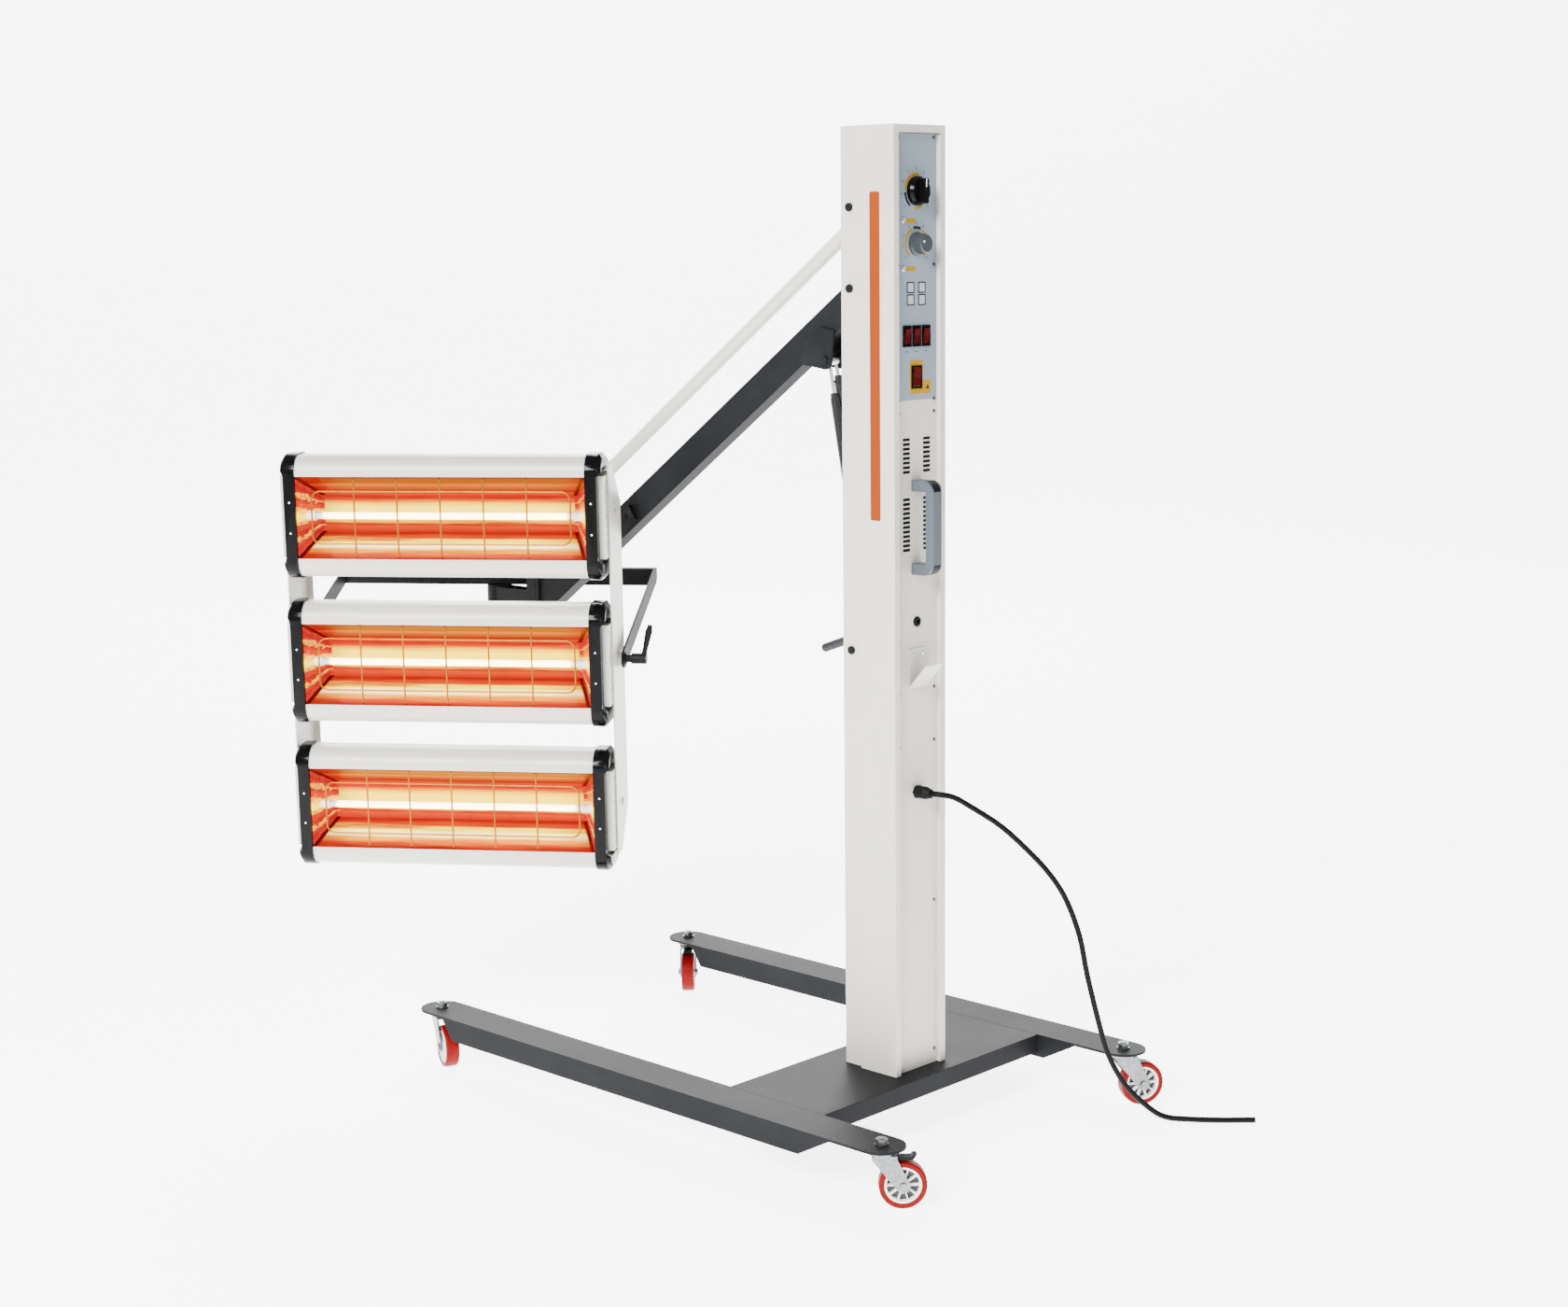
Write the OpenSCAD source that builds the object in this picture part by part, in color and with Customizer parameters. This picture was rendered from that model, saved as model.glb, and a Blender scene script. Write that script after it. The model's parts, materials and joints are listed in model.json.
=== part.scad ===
// Infrared curing lamp on a wheeled stand: three cassettes on a balanced arm
// Millimetres. +Z is up, +Y is the way the legs and the arm point, -Y is the operator's side
// The origin is on the floor, under the middle of the whole outline

/* [Base frame] */
// Distance between the middles of the two legs
leg_spacing = 624; // [560:1:700]
// Width of each leg
leg_w = 76; // [70:1:88]
// Distance from the rear caster bolt to the front one
wheelbase = 1056; // [950:1:1150]
// Distance from the mast's middle back to the rear caster bolts
rear_reach = 245; // [220:1:280]
// Height of the legs' top face above the floor
deck_h = 100; // [98:1:112]
// Thickness of the base's folded sheet
base_t = 4; // [3:0.5:5]
// Depth of the legs' side skirts
leg_skirt_h = 40; // [30:1:44]
// Distance from the front caster bolt back to the full depth of the skirts
front_slant_gap = 71; // [71:1:90]
// Length of the skirts' front slant
front_slant = 26; // [20:1:40]
// Length of the skirts' rear slant
rear_slant = 70; // [50:1:90]
// Size of the cross plate from back to front
cross_d = 208; // [180:1:240]
// How far the cross plate reaches behind the mast's middle
cross_back = 91; // [80:1:110]
// Depth of the cross plate's front and rear skirts
cross_skirt_h = 32; // [24:1:38]

/* [Casters] */
// Diameter of the caster wheels
wheel_d = 75; // [68:1:75]
// Width of the tyres
tyre_w = 24; // [20:1:26]
// Thickness of the tyre on the hub
tyre_t = 8.5; // [6:0.5:10]
// Distance from the swivel axis to the wheel's axle
trail = 32; // [28:1:32]
// Thickness of the fork's sheet
fork_t = 2.5; // [2:0.5:3]
// Gap between the tyre and each side of the fork
fork_gap = 1.5; // [1:0.1:2]
// Radius of the fork's bearing cup
cup_r = 20; // [18:0.5:24]
// Height of the fork's bearing cup
cup_h = 10; // [8:0.5:12]
// Diameter of the king bolts
king_d = 10; // [8:0.5:12]
// Diameter of the axles
axle_d = 8; // [6:0.5:8]
// Number of ribs in a hub
hub_ribs = 10; // [6:1:12]
// Heading of the left front caster's trail, from +X
heading_left_front = -114; // [-180:1:180]
// Heading of the left rear caster's trail, from +X
heading_left_rear = -45; // [-180:1:180]
// Heading of the right front caster's trail, from +X
heading_right_front = -137; // [-180:1:180]
// Heading of the right rear caster's trail, from +X
heading_right_rear = -32; // [-180:1:180]

/* [Mast] */
// Height of the mast above the base
mast_h = 1540; // [1500:1:1600]
// Width of the rear cover
cover_w = 126; // [120:1:136]
// Distance from the mast's middle back to the cover's rear lips
cover_back = 59; // [56:1:64]
// Distance from the mast's middle to the cover's front wall
cover_front = 18; // [16:1:22]
// Width of the rear cover's folded lips
lip_w = 13; // [10:1:16]
// Depth at which the panels sit behind the lips
panel_recess = 8; // [6:1:12]
// Sheet thickness of the mast's cover and panels
sheet_t = 2; // [1.5:0.5:3]
// Width of the front channel
channel_w = 110; // [104:1:112]
// Distance from the mast's middle to the channel's open front edge
channel_front = 59; // [56:1:66]
// Wall of the front channel
channel_t = 2.5; // [2:0.5:4]
// Distance from the mast's middle to its pivot bolts
pivot_y = 40.5; // [39:0.5:42]
// Height of the upper link's bolt
link_pivot_z = 1513.7; // [1505:0.1:1520]
// Height of the main arm's bolt
arm_pivot_z = 1386; // [1380:0.1:1390]
// Height of the gas struts' lower bolt
strut_pivot_z = 802.6; // [795:0.1:810]
// Diameter of the pivot bolts
pivot_d = 12; // [10:0.5:12]

/* [Controls] */
// Height of the grey control panel
control_h = 428; // [420:1:440]
// Height of the rotary switch's knob above the floor
rotary_z = 1537.5; // [1530:0.5:1545]
// Diameter of the rotary switch's knob
rotary_d = 46; // [40:1:50]
// Height of the timer's knob above the floor
timer_z = 1455.5; // [1450:0.5:1460]
// Diameter of the timer's knob
timer_d = 37; // [32:1:40]
// Height of the three lamp rockers above the floor
rocker_z = 1311; // [1305:0.5:1316]
// Distance between the lamp rockers
rocker_pitch = 23; // [20:0.5:25]
// Width of a lamp rocker
rocker_w = 12.4; // [10:0.2:13]
// Height of a lamp rocker
rocker_h = 24; // [22:0.5:27]
// Height of the main rocker above the floor
main_rocker_z = 1246; // [1240:0.5:1252]
// Width of the main rocker
main_rocker_w = 18; // [16:0.5:20]
// Height of the main rocker's face
main_rocker_h = 27; // [25:0.5:29]
// Angle that a rocker leans at rest
rocker_lean = 8; // [5:1:9]
// Diameter of the two pilot lamps
pilot_d = 9; // [7:0.5:12]
// Number of slots in each upper bank of vents
vents_upper = 8; // [4:1:9]
// Number of slots in each lower bank of vents
vents_lower = 12; // [6:1:13]
// Length of a vent slot
vent_w = 16.5; // [12:0.5:18]
// Height of a vent slot
vent_h = 4; // [3:0.5:4.5]
// Distance from slot to slot
vent_pitch = 7.4; // [6.5:0.1:7.5]
// Height of the pull handle's middle above the floor
handle_z = 1006; // [1000:1:1012]
// Length of the pull handle
handle_h = 152; // [140:1:165]
// Distance that the pull handle stands off the panel
handle_out = 44; // [38:1:50]
// Width of the pull handle
handle_w = 26; // [22:1:30]
// Thickness of the pull handle's grip
handle_t = 14; // [11:0.5:16]
// Height of the cable grommet above the floor
grommet_z = 852; // [846:1:858]
// Height of the hook's upper edge above the floor
hook_top_z = 809; // [800:1:815]
// Height of the hook's flat plate
hook_h = 64; // [56:1:70]
// Width of the hook
hook_w = 42; // [34:1:48]
// Height of the cord gland above the floor
gland_z = 571; // [571:1:571]
// Diameter of the power cord
cord_d = 9.5; // [8:0.5:10]

/* [Arm] */
// Angle of the arm at rest, below level
arm_drop = 35.8; // [34:0.1:37]
// Length of the arm and of the link between their bolts
arm_len = 1024.7; // [1010:0.1:1040]
// Width of the arm's rectangular tube
beam_w = 30; // [26:1:32]
// Depth of the arm's rectangular tube
beam_h = 50; // [44:1:54]
// Height of the tube's middle line above its bolts' line
beam_up = 5; // [3:1:7]
// Wall of the arm's tube
beam_t = 3; // [2:0.5:4]
// Diameter of the upper link's tube
link_d = 24; // [20:1:26]
// Thickness of the strut bracket's cheeks
cheek_t = 4; // [3:0.5:5]
// Distance from the arm's bolt to the struts' upper pin
strut_arm_r = 148; // [144:1:152]
// Angle of the struts' upper pin below the arm's line
strut_arm_drop = 17.3; // [16:0.1:18]
// Diameter of the gas struts' cylinders
cylinder_d = 15; // [13:0.5:15]
// Diameter of the gas struts' rods
rod_d = 6; // [5:0.5:8]
// Sideways distance from the middle to each strut
strut_x = 8; // [8:0.1:8.4]
// Distance from the upper pin down to the far strut's cylinder
rod_show = 25; // [22:1:30]
// Further distance down to the near strut's cylinder
rod_step = 29; // [20:1:34]

/* [Knuckle and yoke] */
// Forward distance from the arm's end bolt to the swivel axis
swivel_out = 116; // [110:1:122]
// Diameter of the swivel's bearing tube
post_d = 46; // [42:1:48]
// Height of the swivel's bearing tube
post_h = 44; // [38:1:48]
// Diameter of the swivel's spindle
spindle_d = 20; // [16:1:24]
// Height of the bearing tube's top above the arm's end bolt
post_up = 34.5; // [32:0.5:36]
// Thickness of the knuckle's side plates
knuckle_t = 4; // [3:0.5:5]
// Turn of the yoke about the swivel axis
yoke_turn = -54; // [-56:1:-53]
// Height of the yoke's crossbar
crossbar_h = 32; // [28:1:36]
// Depth of the yoke's crossbar
crossbar_d = 20; // [18:1:22]
// Distance from the swivel axis to the tilt axis
yoke_reach = 319; // [312:1:326]
// Drop from the crossbar's middle to the tilt axis
yoke_drop = 103; // [98:1:108]
// Width of the yoke's flat arms
yoke_arm_h = 33; // [30:1:36]
// Thickness of the yoke's flat arms
yoke_arm_t = 4; // [3:0.5:5]
// Lean of the whole head about the tilt axis, face down
head_lean = 1.7; // [0:0.1:4]

/* [Head] */
// Distance between the cassettes' middles
cassette_pitch = 260; // [256:1:270]
// Distance from the tilt axis forward to the cassettes' front
front_reach = 88; // [86:1:90]
// Width of the side straps
strap_w = 100; // [94:1:104]
// Length of the side straps
strap_h = 690; // [670:1:700]
// Thickness of the side straps
strap_t = 2.5; // [2:0.5:3]
// Width of the straps' folded rear flange
strap_flange = 14; // [10:1:14]
// Height of the taper at each end of a strap
strap_taper_h = 73; // [60:1:80]
// Depth of that taper
strap_taper_w = 62; // [50:1:66]

/* [Cassettes] */
// Length of a cassette's housing between the caps
housing_l = 513; // [500:1:520]
// Height of a cassette's housing
housing_h = 214; // [208:1:220]
// Depth of a cassette's housing
housing_d = 95; // [92:1:97]
// Wall of a cassette's housing
housing_t = 2; // [1.5:0.5:3]
// Height of a cassette's opening
opening_h = 144; // [138:1:148]
// Radius of the housing's front corners
front_r = 30; // [26:1:32]
// Radius of the housing's rear corners
rear_r = 44; // [38:1:48]
// Width of an end cap's front band
cap_w = 20.5; // [18:0.5:21]
// Distance that a cap stands proud of the housing
cap_proud = 3; // [2:0.5:4]
// Distance that a cap's bulges reach past its front band
bulge_w = 7; // [5:0.5:8]
// Depth of a cap's front band behind the cassette's front
cap_band_d = 16; // [14:0.5:18]
// Depth of the reflector
reflector_d = 64; // [58:1:68]
// Height of the reflector's back panel
reflector_back_h = 66; // [60:1:80]
// Distance that each reflector end leans inwards
reflector_end = 27; // [22:1:30]
// Thickness of the reflector's sheet
reflector_t = 1.2; // [1:0.1:1.6]
// Diameter of a quartz tube
quartz_d = 12; // [10:0.5:14]
// Distance from the cassette's front back to the tube's axis
quartz_y = 32; // [30:1:36]
// Diameter of the tube's ceramic ends
ceramic_d = 17; // [15:0.5:18]
// Diameter of the guard's wire
wire_d = 3; // [2.5:0.1:3.4]
// Height between the guard's two long wires
guard_h = 92; // [84:1:100]
// Number of upright wires in a guard
guard_rungs = 5; // [3:1:8]

/* [Hidden] */
$fn = 64;
// Facets on rounded pieces that are joined by a hull
hull_fn = 32;
// Overrun of every cut
cut = 1;
// Clearance between pieces that move
gap = 0.3;
// Radial clearance of a shaft in its bore
fit = 0.05;
// Clearance of a fixed piece in its hole
slip = 0.2;

// Sizes of the base
rail_x = leg_spacing / 2;
rear_y = -rear_reach;
front_y = wheelbase - rear_reach;
leg_under = deck_h - base_t;
rail_in = rail_x - leg_w / 2;
skirt_low = deck_h - leg_skirt_h;
skirt_front = front_y - front_slant_gap;
skirt_rear = rear_y + front_slant_gap + rear_slant;

// Sizes of a caster
wheel_r = wheel_d / 2;
hub_r = wheel_r - tyre_t;
hub_rim = tyre_t * 0.4;
hub_web = tyre_w * 0.16;
fork_in = tyre_w / 2 + fork_gap;
fork_out = fork_in + fork_t;
cup_top = leg_under - gap;
crown_z = cup_top - cup_h;
crown_t = fork_t;
eye_r = axle_d * 1.35;
king_r = king_d / 2;
nut_h = king_d * 0.8;
nut_af = king_d * 1.7;
washer_r = king_d * 1.1;
washer_t = base_t / 2;
king_head_h = king_d * 0.35;
brake_w = tyre_w * 0.7;
brake_t = fork_t * 1.2;
brake_l = wheel_r * 1.05;
brake_pin_r = brake_t * 0.8;
brake_x = king_r * 1.5 + brake_pin_r + gap * 4;
brake_z = crown_z - crown_t - brake_pin_r - gap * 4;
caster_headings = [heading_left_front, heading_left_rear, heading_right_front, heading_right_rear];

// Sizes of the mast
mast_top = deck_h + mast_h;
cover_x = cover_w / 2;
panel_face = panel_recess - cover_back;
panel_back = panel_face + sheet_t;
return_x = cover_x - lip_w;
ledge_w = lip_w * 0.7;
panel_x = return_x - slip;
channel_x = channel_w / 2;
channel_in = channel_x - channel_t;
bolt_r = pivot_d / 2;
bolt_head_r = pivot_d * 0.56;
bolt_head_h = pivot_d * 0.45;
bush_r = pivot_d * 0.85;
bush_end = channel_in - gap * 2;
panel_top = mast_top - sheet_t - slip;
control_low = panel_top - control_h;
panel_seam = slip;
base_clear = slip;
screw_r = 3;
screw_h = screw_r * 0.6;
screw_x = return_x - screw_r * 2.3;
// Heights of the panel screws as shares of the mast's height
screw_shares = [0.9875, 0.8585, 0.7205, 0.7075, 0.4155, 0.358, 0.182, 0.0155];

// Sizes of the controls
spindle_r = rotary_d * 0.07;
knob_skirt = rotary_d * 0.26;
knob_grip = rotary_d * 0.2;
knob_grip_w = rotary_d * 0.26;
timer_skirt = timer_d * 0.16;
timer_cap_r = timer_d * 0.41;
timer_cap_h = timer_d * 0.55;
frame_rim = 2;
frame_out = 2;
frame_deep = 12;
rocker_gap = 0.4;
rocker_pin_r = 1.6;
rocker_swing = 1.6;
main_rocker_frame_rim = frame_rim * 1.5;
pilot_x = -31;
pilot_z = [rotary_z - rotary_d, timer_z - timer_d * 1.05];
vent_x = vent_w * 1.5;
vents_upper_z = handle_z + handle_h * 0.93;
vents_lower_z = handle_z + handle_h * 0.3;
handle_r = handle_out * 0.45;
handle_foot = handle_t * 1.25;
grommet_r = 8.5;
grommet_out = grommet_r * 0.35;
hook_t = 2;
hook_rise = hook_h * 0.62;
hook_out = hook_h * 0.6;
gland_r = cord_d * 1.2;
gland_l = 31;
gland_nose_r = cord_d * 0.75;
peg_d = 14.6;
peg_x = -30;
peg_z = 832;
peg_dip = 20;
peg_l = 112;
switch_d = cover_back + cover_front - panel_recess - 2 * sheet_t;
terminal_z = handle_z - handle_h;
contactor_z = handle_z + handle_h * 1.35;

// Places and sizes of the arm
knuckle_y = pivot_y + arm_len * cos(arm_drop);
knuckle_z = arm_pivot_z - arm_len * sin(arm_drop);
link_rise = link_pivot_z - arm_pivot_z;
beam_low = beam_up - beam_h / 2;
beam_top = beam_up + beam_h / 2;
beam_x = beam_w / 2;
cheek_x = beam_x + cheek_t;
strut_pin_y = strut_arm_r * cos(strut_arm_drop);
strut_pin_z = -strut_arm_r * sin(strut_arm_drop);
strut_pin_r = rod_d * 0.8;
lobe_r = strut_pin_r * 3;
// The struts' upper pin, in the mast's own frame
strut_top_y = pivot_y + strut_arm_r * cos(arm_drop + strut_arm_drop);
strut_top_z = arm_pivot_z - strut_arm_r * sin(arm_drop + strut_arm_drop);
strut_len = norm([strut_top_y - pivot_y, strut_top_z - strut_pivot_z]);
strut_lean = atan2(strut_top_y - pivot_y, strut_top_z - strut_pivot_z);
strut_eye_r = cylinder_d * 0.55;
rod_stroke = strut_len * 0.3;

// Sizes of the knuckle and the yoke
knuckle_in = beam_x + gap;
knuckle_x = knuckle_in + knuckle_t;
knuckle_ear_r = pivot_d * 1.4;
knuckle_low = knuckle_z + post_up - post_h - knuckle_t;
post_top = knuckle_z + post_up;
swivel_y = knuckle_y + swivel_out;
spacer_r = pivot_d * 0.8;
yoke_low = post_top + gap;
collar_t = knuckle_t * 0.6;
crossbar_low = yoke_low + collar_t;
crossbar_mid = crossbar_low + crossbar_h / 2;
tilt_z = crossbar_mid - yoke_drop;
yoke_slope = atan2(yoke_drop, yoke_reach);
nut_t = spindle_d * 0.4;

// Sizes of the head, across from its middle
cap_x = housing_l / 2 + cap_w;
bulge_x = cap_x + bulge_w;
strap_in = bulge_x + bulge_w * 0.6;
strap_out = strap_in + strap_t;
plate_x = strap_in - gap;
boss_end = strap_out + bulge_w;
yoke_in = boss_end + gap;
yoke_out = yoke_in + yoke_arm_t;
strap_front = front_reach - strap_w / 2;
strap_back = front_reach + strap_w / 2;
stud_r = pivot_d / 2;
pivot_stud_r = stud_r * 0.7;
boss_r = stud_r * 2.3;
hub_l = 38;
lever_l = 62;
lever_hub_r = 9.5;
lever_lean = 13;
yoke_eye_r = yoke_arm_h / 2;

// Sizes of a cassette
half_l = housing_l / 2;
half_h = housing_h / 2;
open_z = opening_h / 2;
plate_t = 1.5;
plate_h = opening_h - 2 * slip;
louvres = 9;
louvre_w = 3;
louvre_l = 15;
rim_w = 4;
reflector_front = housing_t;
mirror_z = open_z - reflector_t;
mirror_back_z = reflector_back_h / 2;
mirror_x = half_l - gap;
mirror_back_x = mirror_x - reflector_end;
holder_x = half_l + plate_t * 4;
holder_t = 2;
holder_w = ceramic_d * 1.7;
collar_r = ceramic_d * 0.68;
ceramic_l = ceramic_d * 2.6;
quartz_r = quartz_d / 2;
wire_r = wire_d / 2;
guard_y = wire_d * 1.6;
guard_x = half_l - reflector_end;
rung_half = mirror_z - gap - (mirror_z - mirror_back_z) * (guard_y + wire_r - reflector_front) /
            (reflector_d - reflector_t);
guard_corner = guard_h * 0.16;

// Middle of the whole outline, from the casters, the crossbar and the left cassette cap
reach_left = -bulge_x * cos(yoke_turn) + (yoke_reach + front_reach + cap_proud) * sin(yoke_turn);
reach_right = rail_x + (trail + wheel_r) * cos(heading_right_rear);
reach_back = rear_y - (trail + wheel_r) * sin(-heading_left_rear) - tyre_w / 2 * cos(heading_left_rear);
reach_front = swivel_y - yoke_out * sin(yoke_turn) + crossbar_d / 2 * cos(yoke_turn);
mast_x = -round((reach_left + reach_right) / 2);
mast_y = -round((reach_back + reach_front) / 2);

// Route of the power cord from the gland's nose down to the floor, in the whole object's frame
cord_points = [
    [64, -550, 571], [66, -566, 572], [82, -582, 567], [106, -597, 550], [146, -631, 514],
    [184, -665, 465], [208, -688, 426], [227, -704, 384], [243, -718, 325], [253, -727, 258],
    [268, -741, 174], [281, -752, 118], [302, -772, 66], [331, -797, 27], [352, -818, 9],
    [376, -850, 6], [408, -888, 5], [430, -912, 5], [448, -932, 5]
];
cord_sides = 10;
cord_steps = 3;

// Colours
graphite = "#2f3338";
cream = "#efede8";
panel_grey = "#a9b4bd";
zinc = "#b9bdc0";
black = "#17181a";
dark_rubber = "#3b4046";
steel = "#8f9497";

// Places and directions
module on_floor() {
    translate([mast_x, mast_y, 0])
        children();
}
module rod_x(r, from, to) {
    translate([from, 0, 0])
        rotate([0, 90, 0])
            cylinder(r = r, h = to - from);
}
module rod_y(r, from, to) {
    translate([0, to, 0])
        rotate([90, 0, 0])
            cylinder(r = r, h = to - from);
}
// A side outline (y, z) given thickness across X
module slab_x(from, to) {
    translate([from, 0, 0])
        rotate([90, 0, 90])
            linear_extrude(height = to - from)
                children();
}
// A front outline (x, z) given thickness along Y
module slab_y(from, to) {
    translate([0, to, 0])
        rotate([90, 0, 0])
            linear_extrude(height = to - from)
                children();
}
module span(x0, x1, y0, y1) {
    translate([x0, y0])
        square([x1 - x0, y1 - y0]);
}
module both_sides() {
    children();
    mirror([1, 0, 0])
        children();
}
module at_caster(corner) {
    side = corner < 2 ? -1 : 1;
    end_y = corner % 2 == 0 ? front_y : rear_y;
    on_floor()
        translate([side * rail_x, end_y, 0])
            rotate([0, 0, caster_headings[corner]])
                children();
}
module at_arm() {
    on_floor()
        translate([0, pivot_y, arm_pivot_z])
            rotate([-arm_drop, 0, 0])
                children();
}
module at_strut() {
    on_floor()
        translate([0, pivot_y, strut_pivot_z])
            rotate([-strut_lean, 0, 0])
                children();
}
module at_swivel() {
    on_floor()
        translate([0, swivel_y, 0])
            rotate([0, 0, yoke_turn])
                children();
}
// The head's frame: its origin is on the tilt axis, -Y is the way that the lamps face
module at_head() {
    at_swivel()
        translate([0, -yoke_reach, tilt_z])
            rotate([head_lean, 0, 0])
                children();
}
// A cassette's frame: its origin is in the middle of the cassette's front
module at_cassette(level) {
    at_head()
        translate([0, -front_reach, level * cassette_pitch])
            children();
}
module at_panel(x, z) {
    on_floor()
        translate([x, panel_face, z])
            children();
}

// Base
module leg_outline() {
    span(-leg_w / 2, leg_w / 2, rear_y, front_y);
    for (y = [rear_y, front_y])
        translate([0, y])
            circle(d = leg_w);
}
module leg() {
    difference() {
        translate([0, 0, leg_under])
            linear_extrude(height = base_t)
                leg_outline();
        for (y = [rear_y, front_y])
            translate([0, y, leg_under - cut])
                cylinder(r = king_r + slip, h = base_t + 2 * cut);
    }
    both_sides()
        slab_x(leg_w / 2 - base_t, leg_w / 2)
            polygon([
                [skirt_rear, skirt_low], [skirt_front, skirt_low],
                [skirt_front + front_slant, leg_under + base_t / 2],
                [skirt_rear - rear_slant, leg_under + base_t / 2]
            ]);
}
module left_leg() {
    color(graphite)
        on_floor()
            translate([-rail_x, 0, 0])
                leg();
}
module right_leg() {
    color(graphite)
        on_floor()
            translate([rail_x, 0, 0])
                leg();
}
module cross_plate() {
    color(graphite)
        on_floor()
            translate([-rail_in, 0, 0])
                rotate([90, 0, 90])
                    linear_extrude(height = 2 * rail_in) {
                        span(-cross_back, cross_d - cross_back, leg_under, deck_h);
                        for (y = [-cross_back, cross_d - cross_back - base_t])
                            span(y, y + base_t, deck_h - cross_skirt_h, deck_h);
                    }
}
module caster_bolt() {
    translate([0, 0, crown_z - crown_t - king_head_h])
        cylinder(r = king_r, h = deck_h - crown_z + crown_t + king_head_h + washer_t + nut_h * 1.2);
    translate([0, 0, crown_z - crown_t - king_head_h - gap])
        cylinder(r = king_r * 1.5, h = king_head_h);
    translate([0, 0, deck_h])
        cylinder(r = washer_r, h = washer_t);
    translate([0, 0, deck_h + washer_t])
        cylinder(d = nut_af / cos(30), h = nut_h, $fn = 6);
}
module caster_bolts() {
    color(zinc)
        for (corner = [0 : 3])
            at_caster(corner)
                caster_bolt();
}

// Casters
module fork_side() {
    lean = atan2(crown_z - wheel_r, trail);
    difference() {
        union() {
            polygon([
                [-cup_r * 0.8, crown_z], [-cup_r * 0.8, crown_z - crown_t * 2],
                [trail - eye_r * sin(lean), wheel_r - eye_r * cos(lean)],
                [trail + eye_r * sin(lean), wheel_r + eye_r * cos(lean)],
                [cup_r * 1.15, crown_z - crown_t * 2], [cup_r * 1.15, crown_z]
            ]);
            translate([trail, wheel_r])
                circle(r = eye_r);
        }
        translate([trail, wheel_r])
            circle(d = axle_d);
    }
}
module fork(corner) {
    color(zinc)
        at_caster(corner) {
            difference() {
                union() {
                    translate([0, 0, crown_z])
                        cylinder(r = cup_r, h = cup_h * 0.6);
                    translate([0, 0, crown_z + cup_h * 0.6])
                        cylinder(r1 = cup_r, r2 = cup_r * 0.85, h = cup_h * 0.4);
                    translate([-cup_r * 0.8, -fork_out, crown_z - crown_t])
                        cube([cup_r * 1.95, 2 * fork_out, crown_t]);
                }
                translate([0, 0, crown_z - crown_t - cut])
                    cylinder(r = king_r + fit, h = cup_h + crown_t + 2 * cut);
            }
            for (y = [-fork_out, fork_in])
                translate([0, y + fork_t, 0])
                    rotate([90, 0, 0])
                        linear_extrude(height = fork_t)
                            fork_side();
            translate([trail, 0, wheel_r]) {
                rod_y(axle_d / 2, -fork_out, fork_out);
                rod_y(axle_d * 0.8, fork_out, fork_out + axle_d * 0.4, $fn = 6);
                rod_y(axle_d * 0.8, -fork_out - axle_d * 0.4, -fork_out, $fn = 6);
            }
        }
}
module wheel_section() {
    corner = tyre_t * 0.3;
    // Tyre
    span(hub_r, wheel_r - corner, -tyre_w / 2, tyre_w / 2);
    span(wheel_r - 2 * corner, wheel_r, corner - tyre_w / 2, tyre_w / 2 - corner);
    for (y = [corner - tyre_w / 2, tyre_w / 2 - corner])
        translate([wheel_r - corner, y])
            circle(r = corner);
    // Hub's rim, web and boss
    span(hub_r - hub_rim, hub_r, -tyre_w * 0.42, tyre_w * 0.42);
    span(axle_d, hub_r, -hub_web / 2, hub_web / 2);
    span(axle_d / 2 + fit, axle_d, -tyre_w / 2, tyre_w / 2);
}
module wheel(corner) {
    color("#d3202a")
        at_caster(corner)
            translate([trail, 0, wheel_r])
                rotate([90, 0, 0]) {
                    rotate_extrude()
                        wheel_section();
                    for (rib = [0 : hub_ribs - 1])
                        rotate([0, 0, rib * 360 / hub_ribs])
                            translate([axle_d * 0.9, -hub_web / 3, -tyre_w * 0.32])
                                cube([hub_r - hub_rim / 2 - axle_d * 0.9, hub_web * 2 / 3, tyre_w * 0.64]);
                }
}
module brake(corner) {
    tip = brake_x + brake_l;
    color(black)
        at_caster(corner)
            difference() {
                union() {
                    translate([0, brake_w / 2, 0])
                        rotate([90, 0, 0])
                            linear_extrude(height = brake_w)
                                polygon([
                                    [brake_x, brake_z - brake_pin_r], [brake_x + brake_pin_r, brake_z - brake_pin_r],
                                    [tip - brake_t, brake_z - brake_pin_r], [tip + brake_t, brake_z + brake_t * 2],
                                    [tip - brake_t, brake_z + brake_t * 2], [tip - brake_t * 2, brake_z + brake_pin_r],
                                    [brake_x, brake_z + brake_pin_r]
                                ]);
                    translate([brake_x, 0, brake_z])
                        rod_y(brake_pin_r, -fork_in + gap, fork_in - gap);
                }
            }
}

// Mast
module cover_section() {
    for (side = [-1, 1])
        scale([side, 1]) {
            span(cover_x - sheet_t, cover_x, -cover_back, cover_front);
            span(return_x, cover_x, -cover_back, sheet_t - cover_back);
            span(return_x, return_x + sheet_t, -cover_back, panel_back + sheet_t);
            span(return_x - ledge_w, return_x + sheet_t, panel_back, panel_back + sheet_t);
        }
    span(-cover_x, cover_x, cover_front - sheet_t, cover_front);
}
module rear_cover() {
    color(cream)
        on_floor() {
            translate([0, 0, deck_h])
                linear_extrude(height = mast_h - sheet_t)
                    cover_section();
            translate([-cover_x, -cover_back, mast_top - sheet_t])
                cube([cover_w, cover_back + cover_front, sheet_t]);
        }
}
module channel_section() {
    span(-channel_x, channel_x, cover_front, cover_front + channel_t);
    for (side = [-1, 1])
        scale([side, 1])
            span(channel_in, channel_x, cover_front, channel_front);
}
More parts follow.
